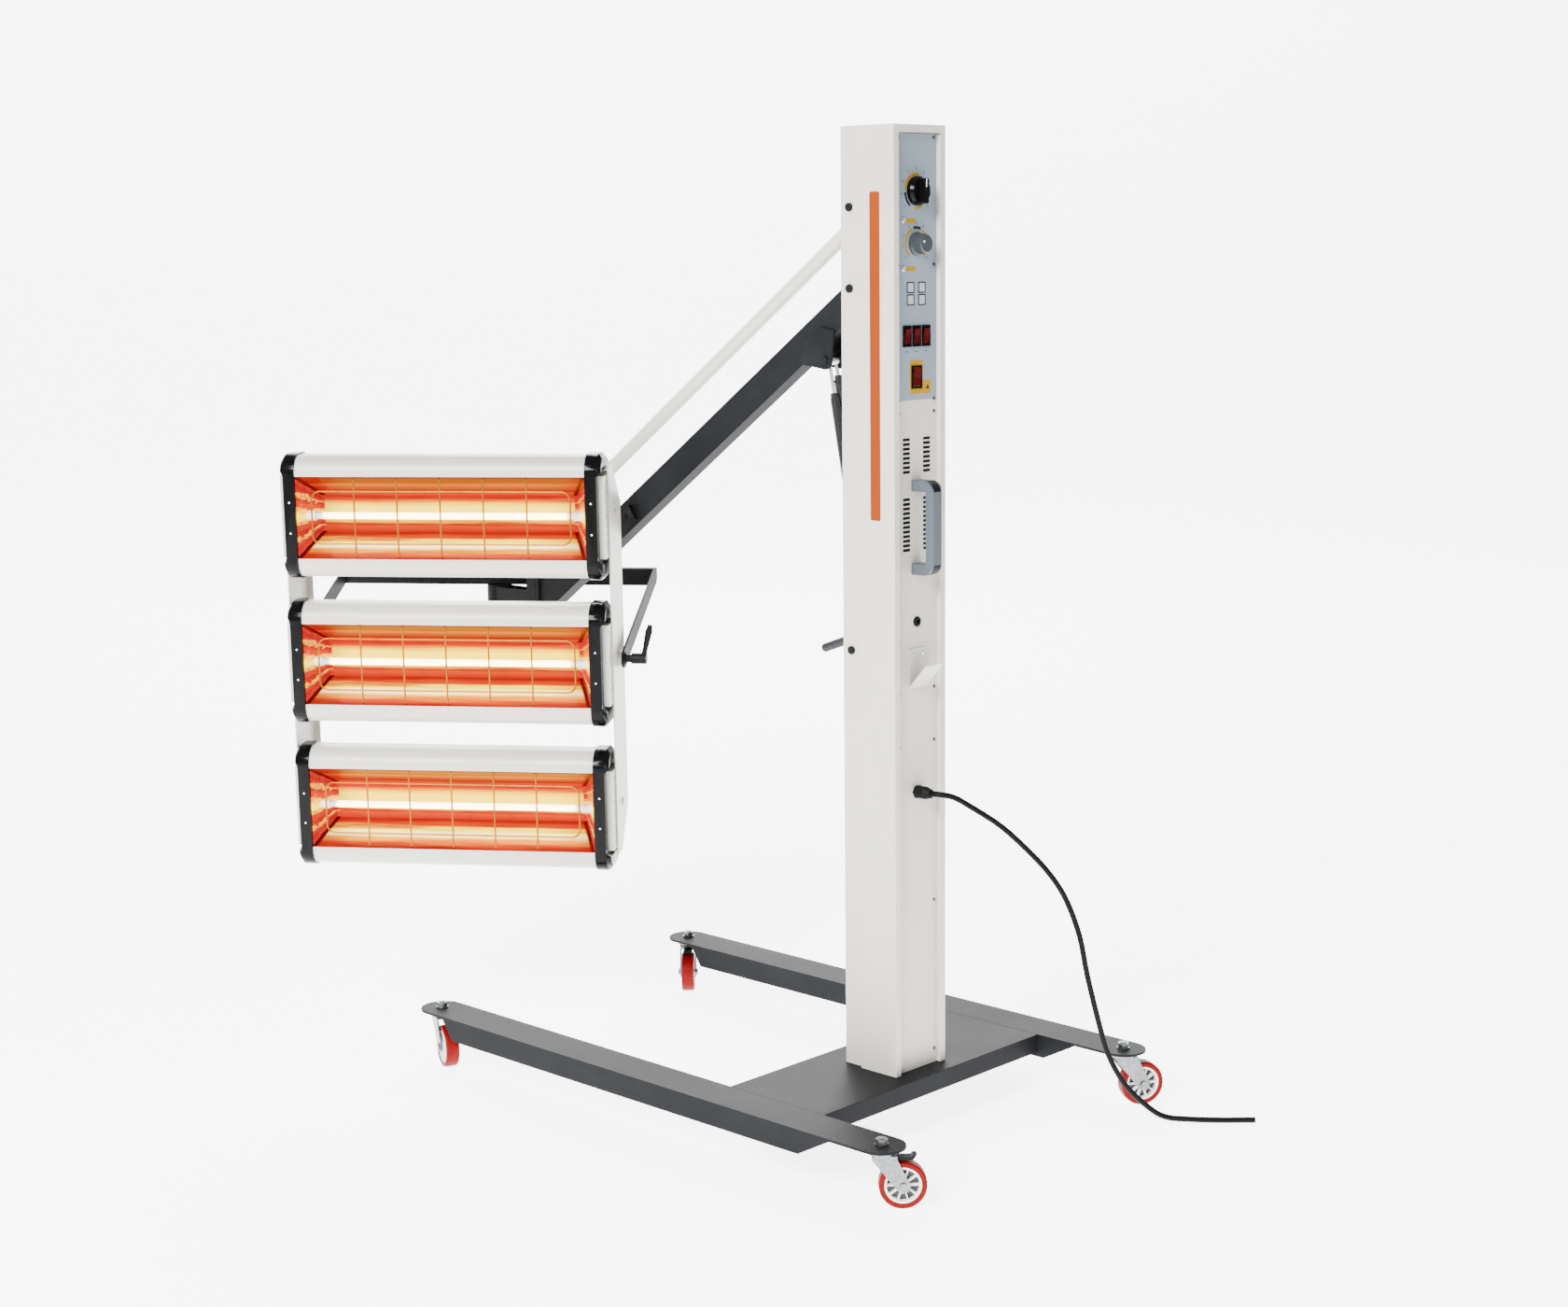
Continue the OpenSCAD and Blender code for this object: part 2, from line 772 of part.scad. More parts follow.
module mast_channel() {
    color(cream)
        on_floor()
            difference() {
                union() {
                    translate([0, 0, deck_h])
                        linear_extrude(height = mast_h)
                            channel_section();
                    translate([-channel_x, cover_front, mast_top - channel_t])
                        cube([channel_w, channel_front - cover_front, channel_t]);
                }
                for (z = [link_pivot_z, arm_pivot_z, strut_pivot_z])
                    translate([0, pivot_y, z])
                        rod_x(bolt_r + slip, -channel_x - cut, channel_x + cut);
            }
}
module pivot_bolt() {
    rod_x(bolt_r, -channel_x, channel_x);
    both_sides() {
        rod_x(bolt_head_r, channel_x, channel_x + bolt_head_h * 0.7);
        translate([channel_x + bolt_head_h * 0.7, 0, 0])
            rotate([0, 90, 0])
                cylinder(r1 = bolt_head_r, r2 = bolt_head_r * 0.7, h = bolt_head_h * 0.3);
    }
}
module pivot_bolts() {
    color(black)
        on_floor()
            for (z = [link_pivot_z, arm_pivot_z, strut_pivot_z])
                translate([0, pivot_y, z])
                    pivot_bolt();
}
module rest_peg() {
    color(dark_rubber)
        on_floor()
            translate([peg_x, cover_front + channel_t, peg_z])
                difference() {
                    rotate([-peg_dip, 0, 0]) {
                        rod_y(peg_d / 2, -peg_d, peg_l - peg_d * 0.2);
                        translate([0, peg_l - peg_d * 0.2, 0])
                            rotate([-90, 0, 0])
                                cylinder(r1 = peg_d / 2, r2 = peg_d * 0.36, h = peg_d * 0.2);
                    }
                    translate([-peg_d, -2 * peg_d, -2 * peg_d])
                        cube([2 * peg_d, 2 * peg_d, 4 * peg_d]);
                }
}

// Panels
module control_panel() {
    color(panel_grey)
        on_floor()
            difference() {
                translate([-panel_x, panel_face, control_low])
                    cube([2 * panel_x, sheet_t, control_h]);
                for (z = [rotary_z, timer_z])
                    translate([0, 0, z])
                        rod_y(spindle_r * 1.5, panel_face - cut, panel_back + cut);
                for (slot = [-1 : 1])
                    slab_y(panel_face - cut, panel_back + cut)
                        translate([slot * rocker_pitch, rocker_z])
                            square([frame_body_w(rocker_w), frame_body_h(rocker_h)], center = true);
                slab_y(panel_face - cut, panel_back + cut)
                    translate([0, main_rocker_z])
                        square([frame_body_w(main_rocker_w), frame_body_h(main_rocker_h)], center = true);
                for (z = pilot_z)
                    translate([pilot_x, 0, z])
                        rod_y(pilot_d * 0.35 + slip, panel_face - cut, panel_back + cut);
            }
}
module vent_bank(top_z, slots) {
    for (side = [-1, 1])
        for (slot = [0 : slots - 1])
            translate([side * vent_x, top_z - slot * vent_pitch])
                square([vent_w, vent_h], center = true);
}
module lower_panel() {
    color(cream)
        on_floor()
            slab_y(panel_face, panel_back)
                difference() {
                    span(-panel_x, panel_x, deck_h + base_clear, control_low - panel_seam);
                    vent_bank(vents_upper_z, vents_upper);
                    vent_bank(vents_lower_z, vents_lower);
                    translate([0, grommet_z])
                        circle(r = grommet_r * 0.7 + slip);
                    translate([0, gland_z])
                        circle(r = gland_nose_r + slip);
                }
}
module panel_screws() {
    color(steel)
        on_floor()
            for (share = screw_shares)
                for (side = [-1, 1])
                    translate([side * screw_x, 0, deck_h + share * mast_h]) {
                        rod_y(screw_r, panel_face - screw_h * 0.5, panel_face);
                        translate([0, panel_face - screw_h * 0.5, 0])
                            rotate([90, 0, 0])
                                cylinder(r1 = screw_r, r2 = screw_r * 0.6, h = screw_h * 0.5);
                    }
}
function frame_body_w(w) = w + 2 * rocker_gap + 2 * frame_rim;
function frame_body_h(h) = h + 2 * rocker_swing + 2 * frame_rim;
module rocker_frame(w, h) {
    hole_w = w + 2 * rocker_gap;
    hole_h = h + 2 * rocker_swing;
    difference() {
        union() {
            slab_y(-frame_out, 0)
                square([hole_w + 4 * frame_rim * 0.8, hole_h + 4 * frame_rim * 0.8], center = true);
            slab_y(0, frame_deep)
                square([hole_w + 2 * frame_rim - slip, hole_h + 2 * frame_rim - slip], center = true);
        }
        slab_y(-frame_out - cut, frame_deep - frame_rim)
            square([hole_w, hole_h], center = true);
        rod_x(rocker_pin_r + fit, -hole_w / 2 - frame_rim / 2, hole_w / 2 + frame_rim / 2);
    }
}
module panel_fittings() {
    color(black) {
        for (slot = [-1 : 1])
            at_panel(slot * rocker_pitch, rocker_z)
                rocker_frame(rocker_w, rocker_h);
        at_panel(0, main_rocker_z)
            rocker_frame(main_rocker_w, main_rocker_h);
        for (z = pilot_z)
            at_panel(pilot_x, z) {
                rod_y(pilot_d * 0.35, 0, sheet_t * 5);
                rod_y(pilot_d / 2, -frame_out / 2, 0);
                translate([0, -frame_out / 2, 0])
                    rotate([90, 0, 0])
                        cylinder(r1 = pilot_d * 0.4, r2 = pilot_d * 0.25, h = frame_out / 2);
            }
    }
}
// A rocker turns about the middle of its frame, with the upper half pressed in at rest
module rocker(x, z, w, h) {
    reach = frame_out * 1.6;
    color("#c51f22")
        at_panel(x, z)
            rotate([rocker_lean, 0, 0]) {
                slab_x(-w / 2, w / 2)
                    difference() {
                        span(-reach, rocker_pin_r * 1.6, -h / 2, h / 2);
                        polygon([[-reach - cut, h / 2], [-reach - cut, -h / 2], [-reach, -h / 2],
                                 [-reach * 0.62, 0], [-reach, h / 2]]);
                    }
                rod_x(rocker_pin_r, -w / 2 - rocker_gap - frame_rim * 0.4, w / 2 + rocker_gap + frame_rim * 0.4);
            }
}
module rotary_knob() {
    color(black)
        at_panel(0, rotary_z) {
            rod_y(spindle_r, -gap * 2, switch_d / 3);
            translate([0, -gap * 2, 0])
                rotate([90, 0, 0]) {
                    cylinder(d = rotary_d, h = knob_skirt * 0.55);
                    translate([0, 0, knob_skirt * 0.55])
                        cylinder(d1 = rotary_d, d2 = rotary_d * 0.88, h = knob_skirt * 0.45);
                    linear_extrude(height = knob_skirt + knob_grip)
                        intersection() {
                            square([knob_grip_w, rotary_d], center = true);
                            circle(d = rotary_d * 0.86);
                        }
                }
        }
}
module timer_knob() {
    color("#8b9094")
        at_panel(0, timer_z) {
            rod_y(spindle_r, -gap * 2, switch_d / 3);
            translate([0, -gap * 2, 0])
                rotate([90, 0, 0]) {
                    cylinder(d = timer_d, h = timer_skirt * 0.6);
                    translate([0, 0, timer_skirt * 0.6])
                        cylinder(r1 = timer_d / 2, r2 = timer_cap_r, h = timer_skirt * 0.4);
                    cylinder(r = timer_cap_r, h = timer_cap_h);
                    translate([0, 0, timer_cap_h])
                        cylinder(r1 = timer_cap_r, r2 = timer_cap_r * 0.85, h = timer_skirt * 0.4);
                }
        }
}
module switch_body(w, h, d) {
    difference() {
        slab_y(sheet_t, sheet_t + d)
            square([w, h], center = true);
        rod_y(spindle_r + fit, sheet_t - cut, switch_d / 3 + gap);
    }
}
module panel_switchgear() {
    color("#c9c4b4") {
        at_panel(0, rotary_z)
            switch_body(rotary_d, rotary_d, switch_d * 0.6);
        at_panel(0, timer_z)
            switch_body(timer_d, timer_d * 1.15, switch_d * 0.55);
        // Contactor and terminal block on the cover's front wall
        for (z = [contactor_z, terminal_z])
            on_floor()
                translate([0, 0, z])
                    slab_y(cover_front - sheet_t - switch_d * 0.45, cover_front - sheet_t) {
                        square([rotary_d, rotary_d * 1.6], center = true);
                        for (row = [-1, 1])
                            translate([0, row * rotary_d * 0.7])
                                square([rotary_d * 1.3, rotary_d * 0.3], center = true);
                    }
    }
}
module handle_profile(grow) {
    r = handle_r + grow;
    out = handle_out + grow;
    tall = handle_h / 2 + grow;
    span(-out + r, 0, -tall, tall);
    span(-out, 0, -tall + r, tall - r);
    for (side = [-1, 1])
        translate([-out + r, side * (tall - r)])
            circle(r = r);
}
module pull_handle() {
    color("#7d8388")
        at_panel(0, handle_z)
            difference() {
                slab_x(-handle_w / 2, handle_w / 2)
                    difference() {
                        handle_profile(0);
                        intersection() {
                            handle_profile(-handle_t);
                            span(-handle_out, handle_out, -handle_h / 2 + handle_foot, handle_h / 2 - handle_foot);
                        }
                        span(-handle_r / 2, cut, -handle_h / 2 + handle_foot, handle_h / 2 - handle_foot);
                        span(0, handle_out, -handle_h, handle_h);
                    }
                // The grip's outer edges are drawn in to a narrower face
                for (side = [-1, 1])
                    scale([side, 1, 1])
                        translate([handle_w / 2, -handle_out, 0])
                            rotate([0, 0, 45])
                                cube([handle_t * 0.3, handle_t * 0.3, handle_h * 1.2], center = true);
            }
}
module hook_bracket() {
    color(cream)
        at_panel(0, hook_top_z)
            difference() {
                slab_x(-hook_w / 2, hook_w / 2)
                    polygon([
                        [0, 0], [0, -hook_h], [-hook_t * 1.5, -hook_h],
                        [-hook_out, -hook_h + hook_rise], [-hook_out + hook_t, -hook_h + hook_rise + hook_t / 2],
                        [-hook_t * 1.8, -hook_h + hook_t * 1.8], [-hook_t, -hook_h + hook_t * 2], [-hook_t, 0]
                    ]);
                for (side = [-1, 1])
                    translate([side * hook_w / 4, 0, -hook_h * 0.14])
                        rod_y(screw_r * 0.6, -hook_t - cut, cut);
            }
}
module cable_grommet() {
    color(black)
        at_panel(0, grommet_z)
            difference() {
                union() {
                    rod_y(grommet_r * 0.7, 0, sheet_t * 1.5);
                    rod_y(grommet_r, -grommet_out * 0.6, 0);
                    translate([0, -grommet_out * 0.6, 0])
                        rotate([90, 0, 0])
                            cylinder(r1 = grommet_r, r2 = grommet_r * 0.8, h = grommet_out * 0.4);
                }
                rod_y(grommet_r * 0.45, -grommet_out - cut, sheet_t);
            }
}
module cord_gland() {
    color(black)
        at_panel(0, gland_z) {
            rod_y(gland_nose_r, 0, sheet_t * 4);
            rod_y(gland_r, -gland_l * 0.22, 0, $fn = 6);
            rod_y(gland_r * 0.92, -gland_l * 0.62, -gland_l * 0.22);
            translate([0, -gland_l * 0.62, 0])
                rotate([90, 0, 0])
                    cylinder(r1 = gland_r * 0.92, r2 = gland_nose_r, h = gland_l * 0.38);
        }
}

// Power cord: a round tube swept along a smooth curve through its points
function unit(v) = v / norm(v);
function between(a, b, c, d, t) =
    0.5 * ((2 * b) + (c - a) * t + (2 * a - 5 * b + 4 * c - d) * t * t + (3 * b - a - 3 * c + d) * t * t * t);
function cord_line(p) = [
    for (i = [0 : len(p) - 2])
        for (s = [0 : cord_steps - 1])
            between(p[max(i - 1, 0)], p[i], p[i + 1], p[min(i + 2, len(p) - 1)], s / cord_steps),
    p[len(p) - 1]
];
function heading(line, i) = unit(line[min(i + 1, len(line) - 1)] - line[max(i - 1, 0)]);
function across(side, way) = unit(side - (side * way) * way);
function cord_rings(line) = [
    for (i = 0, side = across([0, 0, 1], heading(line, 0)); i < len(line);
         i = i + 1, side = i < len(line) ? across(side, heading(line, i)) : side)
        for (k = [0 : cord_sides - 1])
            let (turn = 360 * k / cord_sides, other = cross(heading(line, i), side))
                line[i] + cord_d / 2 * (cos(turn) * side + sin(turn) * other)
];
module power_cord() {
    line = cord_line(cord_points);
    last = (len(line) - 1) * cord_sides;
    color(black)
        polyhedron(
            points = cord_rings(line),
            faces = concat(
                [[for (k = [0 : cord_sides - 1]) cord_sides - 1 - k]],
                [[for (k = [0 : cord_sides - 1]) last + k]],
                [for (i = [0 : len(line) - 2]) for (k = [0 : cord_sides - 1])
                    [i * cord_sides + k, i * cord_sides + (k + 1) % cord_sides,
                     (i + 1) * cord_sides + (k + 1) % cord_sides]],
                [for (i = [0 : len(line) - 2]) for (k = [0 : cord_sides - 1])
                    [i * cord_sides + k, (i + 1) * cord_sides + (k + 1) % cord_sides,
                     (i + 1) * cord_sides + k]]
            )
        );
}

// Arm
module beam_outline(shrink) {
    span(0, arm_len, beam_low + shrink, beam_top - shrink);
    translate([0, 0])
        circle(r = -beam_low - shrink);
    translate([arm_len, beam_up])
        circle(r = beam_h / 2 - shrink);
}
module strut_cheek() {
    difference() {
        union() {
            polygon([
                [strut_pin_y - beam_h * 0.9, beam_low + cheek_t], [strut_pin_y - beam_h * 0.5, beam_up],
                [strut_pin_y + beam_h * 0.3, beam_up], [strut_pin_y + beam_h, beam_low + cheek_t],
                [strut_pin_y + lobe_r * 0.8, strut_pin_z - lobe_r * 0.6],
                [strut_pin_y - lobe_r * 0.8, strut_pin_z - lobe_r * 0.6]
            ]);
            translate([strut_pin_y, strut_pin_z])
                circle(r = lobe_r);
        }
    }
}
module main_beam() {
    lug_y = arm_len * 0.684;
    lug_w = beam_h * 0.76;
    lug_t = cheek_t;
    color(graphite)
        at_arm() {
            difference() {
                union() {
                    difference() {
                        slab_x(-beam_x, beam_x)
                            beam_outline(0);
                        slab_x(-beam_x + beam_t, beam_x - beam_t)
                            span(bush_r + beam_t, arm_len - bush_r - beam_t, beam_low + beam_t, beam_top - beam_t);
                    }
                    rod_x(bush_r, -bush_end, bush_end);
                }
                rod_x(bolt_r + fit, -bush_end - cut, bush_end + cut);
                translate([0, arm_len, 0])
                    rod_x(bolt_r + fit, -beam_x - cut, beam_x + cut);
            }
            both_sides() {
                slab_x(beam_x, cheek_x)
                    strut_cheek();
                translate([0, strut_pin_y, strut_pin_z])
                    rod_x(strut_pin_r * 1.6, cheek_x, cheek_x + cheek_t);
            }
            // Small slotted lug on the near side
            translate([-beam_x, lug_y, beam_up])
                difference() {
                    union() {
                        translate([-lug_t / 2, -lug_w / 2, -lug_w / 2])
                            cube([lug_t / 2, lug_w, lug_w * 0.8]);
                        translate([-lug_t * 1.8, -lug_w / 2, -lug_w / 2])
                            cube([lug_t * 1.8, lug_t / 2, lug_w * 0.8]);
                    }
                    rod_x(lug_w * 0.14, -lug_t, -lug_t / 4);
                }
        }
}
module upper_link() {
    color(cream)
        on_floor()
            translate([0, pivot_y, link_pivot_z])
                rotate([-arm_drop, 0, 0])
                    difference() {
                        union() {
                            rod_y(link_d / 2, 0, arm_len);
                            rod_x(bush_r, -bush_end, bush_end);
                            translate([0, arm_len, 0])
                                rod_x(link_d * 0.6, -beam_x, beam_x);
                            rod_x(link_d * 0.6, -beam_x, beam_x);
                        }
                        rod_x(bolt_r + fit, -bush_end - cut, bush_end + cut);
                        translate([0, arm_len, 0])
                            rod_x(bolt_r + fit, -beam_x - cut, beam_x + cut);
                    }
}
function cylinder_top(side) = strut_len - rod_show - (side < 0 ? rod_step : 0);
module strut_cylinders() {
    color("#23272b")
        at_strut()
            for (side = [-1, 1]) {
                top = cylinder_top(side);
                difference() {
                    union() {
                        translate([side * strut_x, 0, 0]) {
                            rod_x(strut_eye_r, -cylinder_d / 2, cylinder_d / 2);
                            cylinder(d = cylinder_d, h = top - cylinder_d * 0.5);
                            translate([0, 0, top - cylinder_d * 0.8])
                                cylinder(d = cylinder_d * (side > 0 ? 1.35 : 1), h = cylinder_d * 0.3);
                            translate([0, 0, top - cylinder_d * 0.6])
                                cylinder(d = cylinder_d * 0.85, h = cylinder_d * 0.6);
                        }
                        // Spacer that keeps the pair in the middle of the channel
                        rod_x(bolt_r * 1.3, min(0, side * strut_x * 2.6), max(0, side * strut_x * 2.6));
                    }
                    translate([side * strut_x, 0, top - rod_stroke])
                        cylinder(r = rod_d / 2 + fit, h = rod_stroke + cut);
                    rod_x(bolt_r + fit, -channel_x, channel_x);
                }
            }
}
module strut_rods() {
    color("#c8ccd0")
        at_strut() {
            for (side = [-1, 1])
                translate([side * strut_x, 0, cylinder_top(side) - rod_stroke * 0.7])
                    cylinder(d = rod_d, h = strut_len - cylinder_top(side) + rod_stroke * 0.7);
            both_sides()
                translate([0, 0, strut_len])
                    rod_x(strut_eye_r * 0.9, gap, beam_x - 2 * gap);
            translate([0, 0, strut_len])
                rod_x(strut_pin_r, -beam_x + 2 * gap, beam_x - 2 * gap);
        }
}

// Knuckle and yoke
module knuckle_outline() {
    front_r = post_h * 0.3;
    span(knuckle_y - knuckle_ear_r, knuckle_y + knuckle_ear_r, knuckle_z, knuckle_z + link_rise);
    for (z = [knuckle_z, knuckle_z + link_rise])
        translate([knuckle_y, z])
            circle(r = knuckle_ear_r);
    polygon([
        [knuckle_y - knuckle_ear_r, knuckle_z], [knuckle_y, knuckle_low],
        [swivel_y, knuckle_low], [swivel_y + post_d * 0.3, knuckle_low + front_r],
        [swivel_y + post_d * 0.3, post_top], [knuckle_y, post_top]
    ]);
}
module knuckle_pin(y, z) {
    on_floor()
        translate([0, y, z]) {
            rod_x(bolt_r, -knuckle_x, knuckle_x);
            both_sides()
                rod_x(bolt_r * 1.6, knuckle_x, knuckle_x + bolt_r * 0.7);
        }
}
module arm_knuckle() {
    color(graphite) {
        on_floor()
            difference() {
                union() {
                    both_sides()
                        slab_x(knuckle_in, knuckle_x)
                            knuckle_outline();
                    translate([0, swivel_y, post_top - post_h])
                        cylinder(d = post_d, h = post_h);
                    translate([0, knuckle_y + swivel_out * 0.55, knuckle_z + post_up * 0.25])
                        rod_x(spacer_r, -knuckle_in, knuckle_in);
                }
                translate([0, swivel_y, knuckle_low - cut])
                    cylinder(r = spindle_d / 2 + fit, h = post_h + knuckle_t + 2 * cut);
            }
        knuckle_pin(knuckle_y, knuckle_z);
        knuckle_pin(knuckle_y, knuckle_z + link_rise);
    }
}
// Side outline of a flat yoke arm: -y is forward from the swivel axis
module yoke_arm_outline() {
    back = crossbar_d / 2;
    top = crossbar_mid + crossbar_h / 2;
    low = crossbar_mid - crossbar_h / 2;
    half = yoke_arm_h / 2;
    rise = half / cos(yoke_slope);
    difference() {
        union() {
            polygon([
                [back, top], [-back, top],
                [-yoke_reach + half * sin(-yoke_slope), tilt_z + half * cos(yoke_slope)],
                [-yoke_reach - half * sin(-yoke_slope), tilt_z - half * cos(yoke_slope)],
                [-back, low], [back * 0.2, low + crossbar_h * 0.1], [back, low + crossbar_h * 0.35]
            ]);
            translate([-yoke_reach, tilt_z])
                circle(r = yoke_eye_r);
        }
        translate([-yoke_reach, tilt_z])
            circle(r = stud_r + fit);
    }
}
module yoke_frame() {
    color(graphite)
        at_swivel() {
            difference() {
                translate([-yoke_in, -crossbar_d / 2, crossbar_low])
                    cube([2 * yoke_in, crossbar_d, crossbar_h]);
                both_sides()
                    translate([post_d / 2, beam_t - crossbar_d / 2, crossbar_low + beam_t])
                        cube([yoke_in - post_d, crossbar_d - 2 * beam_t, crossbar_h - 2 * beam_t]);
            }
            both_sides()
                slab_x(yoke_in, yoke_out)
                    yoke_arm_outline();
            translate([0, 0, yoke_low])
                cylinder(d = post_d, h = collar_t);
            translate([0, 0, knuckle_low - nut_t - gap])
                cylinder(d = spindle_d, h = yoke_low - knuckle_low + nut_t + gap);
            translate([0, 0, knuckle_low - nut_t - gap])
                cylinder(d = spindle_d * 1.7, h = nut_t, $fn = 6);
        }
}

// Head
module strap_outline() {
    tall = strap_h / 2;
    polygon([
        [-strap_w / 2, tall], [-strap_w / 2, -tall], [strap_w / 2 - strap_taper_w, -tall],
        [strap_w / 2, strap_taper_h - tall], [strap_w / 2, tall - strap_taper_h],
        [strap_w / 2 - strap_taper_w, tall]
    ]);
}
module strap() {
    low = strap_taper_h - strap_h / 2;
    difference() {
        union() {
            slab_x(strap_in, strap_out)
                strap_outline();
            translate([strap_out - strap_flange, strap_w / 2 - strap_t, low])
                cube([strap_flange, strap_t, -2 * low]);
        }
        for (level = [-1, 1])
            translate([0, 0, level * cassette_pitch])
                rod_x(pivot_stud_r + fit, strap_in - cut, strap_out + cut);
    }
    rod_x(boss_r, strap_out, boss_end);
    rod_x(stud_r, strap_out, yoke_out + nut_t);
}
module head_straps() {
    color(cream)
        at_head() {
            both_sides()
                strap();
            translate([0, -front_reach, 0])
                both_sides()
                    end_plate(strap_in);
            // Plain nut on the left stud
            rod_x(stud_r * 1.8, -yoke_out - nut_t * 0.8 - gap, -yoke_out - gap, $fn = 6);
        }
}
module clamp_lever() {
    start = yoke_out + gap;
    neck = start + hub_l * 0.84;
    color(black)
        at_head()
            difference() {
                union() {
                    rod_x(lever_hub_r * 1.1, start, start + strap_t);
                    rod_x(lever_hub_r * 0.72, start + strap_t, start + hub_l * 0.3);
                    rod_x(lever_hub_r, start + hub_l * 0.3, start + hub_l);
                    translate([neck, 0, 0])
                        rotate([0, lever_lean, 0]) {
                            cylinder(r1 = lever_hub_r * 0.55, r2 = lever_hub_r * 0.48, h = lever_l * 0.3);
                            translate([0, 0, lever_l * 0.3])
                                cylinder(r1 = lever_hub_r * 0.48, r2 = lever_hub_r * 0.66, h = lever_l * 0.5);
                            translate([0, 0, lever_l * 0.8])
                                cylinder(r1 = lever_hub_r * 0.66, r2 = lever_hub_r * 0.4, h = lever_l * 0.2);
                        }
                }
                rod_x(stud_r + fit, start - cut, yoke_out + nut_t + gap);
            }
}

// Cassettes: the outline (y, z) of a housing, grown or shrunk all round
module housing_outline(grow) {
    fr = front_r + grow;
    rr = rear_r + grow;
    tall = half_h + grow;
    span(fr - grow, housing_d + grow - rr, -tall, tall);
    span(-grow, housing_d + grow, rr - tall, tall - rr);
    span(-grow, fr, fr - tall, tall - fr);
    for (side = [-1, 1]) {
        translate([fr - grow, side * (tall - fr)])
            circle(r = fr);
        translate([housing_d + grow - rr, side * (tall - rr)])
            circle(r = rr);
    }
}
module housing(level) {
    color(cream)
        at_cassette(level)
            slab_x(-half_l, half_l)
                difference() {
                    housing_outline(0);
                    housing_outline(-housing_t);
                    span(-cut, housing_t + cut, -open_z, open_z);
                }
}
module cap_bulge() {
    hull() {
        slab_x(cap_x - bulge_w / 2, cap_x)
            bulge_outline(cap_proud);
        slab_x(bulge_x - bulge_w / 4, bulge_x)
            bulge_outline(-bulge_w * 0.8);
    }
}
module bulge_outline(grow) {
    intersection() {
        housing_outline(grow, $fn = hull_fn);
        span(-housing_d, 2 * housing_d, open_z + (cap_proud - grow), housing_h);
    }
}
module end_cap() {
    difference() {
        slab_x(half_l, cap_x)
            housing_outline(cap_proud);
        slab_x(half_l - cut, cap_x + cut)
            span(cap_band_d, 2 * housing_d, -open_z, open_z);
    }
    cap_bulge();
    mirror([0, 0, 1])
        cap_bulge();
}
module end_caps(level) {
    color(black)
        at_cassette(level)
            both_sides()
                end_cap();
}
// A louvred cover over one end of a cassette, with its outer face at the given distance
module end_plate(outer) {
    rise = plate_h / (louvres + 1);
    difference() {
        translate([half_l, cap_band_d, -plate_h / 2])
            cube([outer - half_l, housing_d - cap_band_d, plate_h]);
        translate([half_l - cut, cap_band_d + plate_t, plate_t - plate_h / 2])
            cube([outer - half_l - plate_t + cut, housing_d - cap_band_d - 2 * plate_t, plate_h - 2 * plate_t]);
        for (row = [1 : louvres])
            translate([outer, cap_band_d + louvre_l * 0.85, row * rise - plate_h / 2])
                rotate([30, 0, 0])
                    cube([4 * plate_t, louvre_l, louvre_w], center = true);
    }
}
module end_plates(level) {
    color(cream)
        at_cassette(level)
            both_sides() {
                end_plate(plate_x);
                translate([0, front_reach, 0]) {
                    rod_x(pivot_stud_r * 1.8, plate_x - plate_t * 3, plate_x - plate_t / 2);
                    rod_x(pivot_stud_r, plate_x - plate_t, strap_out + strap_t);
                    rod_x(pivot_stud_r * 1.5, strap_out + gap, strap_out + strap_t);
                }
            }
}
// A tray whose four walls lean in towards its back panel
module tray(front_x, front_z, back_x, back_z, from, to) {
    hull() {
        slab_y(from, from + slip / 2)
            square([2 * front_x, 2 * front_z], center = true);
        slab_y(to - slip / 2, to)
            square([2 * back_x, 2 * back_z], center = true);
    }
}
module reflector(level) {
    deep = reflector_front + reflector_d;
    color("#d9c7a8")
        at_cassette(level)
            difference() {
                union() {
                    tray(mirror_x, open_z, mirror_back_x + reflector_t, mirror_back_z + reflector_t, reflector_front, deep);
                    slab_y(reflector_front, reflector_front + reflector_t)
                        square([2 * mirror_x, 2 * (open_z + rim_w)], center = true);
                    both_sides() {
                        // Lamp holder: a foot on the back panel and an upright with the lamp's hole
                        translate([mirror_back_x - rim_w, deep - reflector_t, -holder_w / 2])
                            cube([holder_x + holder_t - mirror_back_x + rim_w, reflector_t, holder_w]);
                        slab_x(holder_x, holder_x + holder_t)
                            span(quartz_y, deep, -holder_w / 2, holder_w / 2);
                        translate([0, quartz_y, 0])
                            rod_x(holder_w / 2, holder_x, holder_x + holder_t);
                    }
                }
                tray(mirror_x - reflector_t, mirror_z, mirror_back_x, mirror_back_z,
                     reflector_front - cut, deep - reflector_t);
                translate([0, quartz_y, 0])
                    rod_x(ceramic_d / 2 + slip, -holder_x - holder_t - cut, holder_x + holder_t + cut);
            }
}
module quartz_tube(level) {
    color("#ffd27a")
        at_cassette(level)
            translate([0, quartz_y, 0]) {
                rod_x(quartz_r, -holder_x, holder_x);
                both_sides() {
                    rod_x(ceramic_d / 2, holder_x + collar_r - ceramic_l, holder_x + collar_r);
                    rod_x(collar_r, holder_x + holder_t, holder_x + collar_r);
                }
            }
}
module guard_ring() {
    x = guard_x - guard_corner;
    z = guard_h / 2 - guard_corner;
    for (side = [-1, 1]) {
        translate([0, 0, side * guard_h / 2])
            rod_x(wire_r, -x, x);
        translate([side * guard_x, 0, -z])
            cylinder(r = wire_r, h = 2 * z);
        for (end = [-1, 1])
            translate([side * x, 0, end * z])
                rotate([90, side > 0 ? (end > 0 ? 0 : 90) : (end > 0 ? 270 : 180), 0])
                    rotate_extrude(angle = 90)
                        translate([guard_corner, 0])
                            circle(r = wire_r, $fn = hull_fn);
    }
}
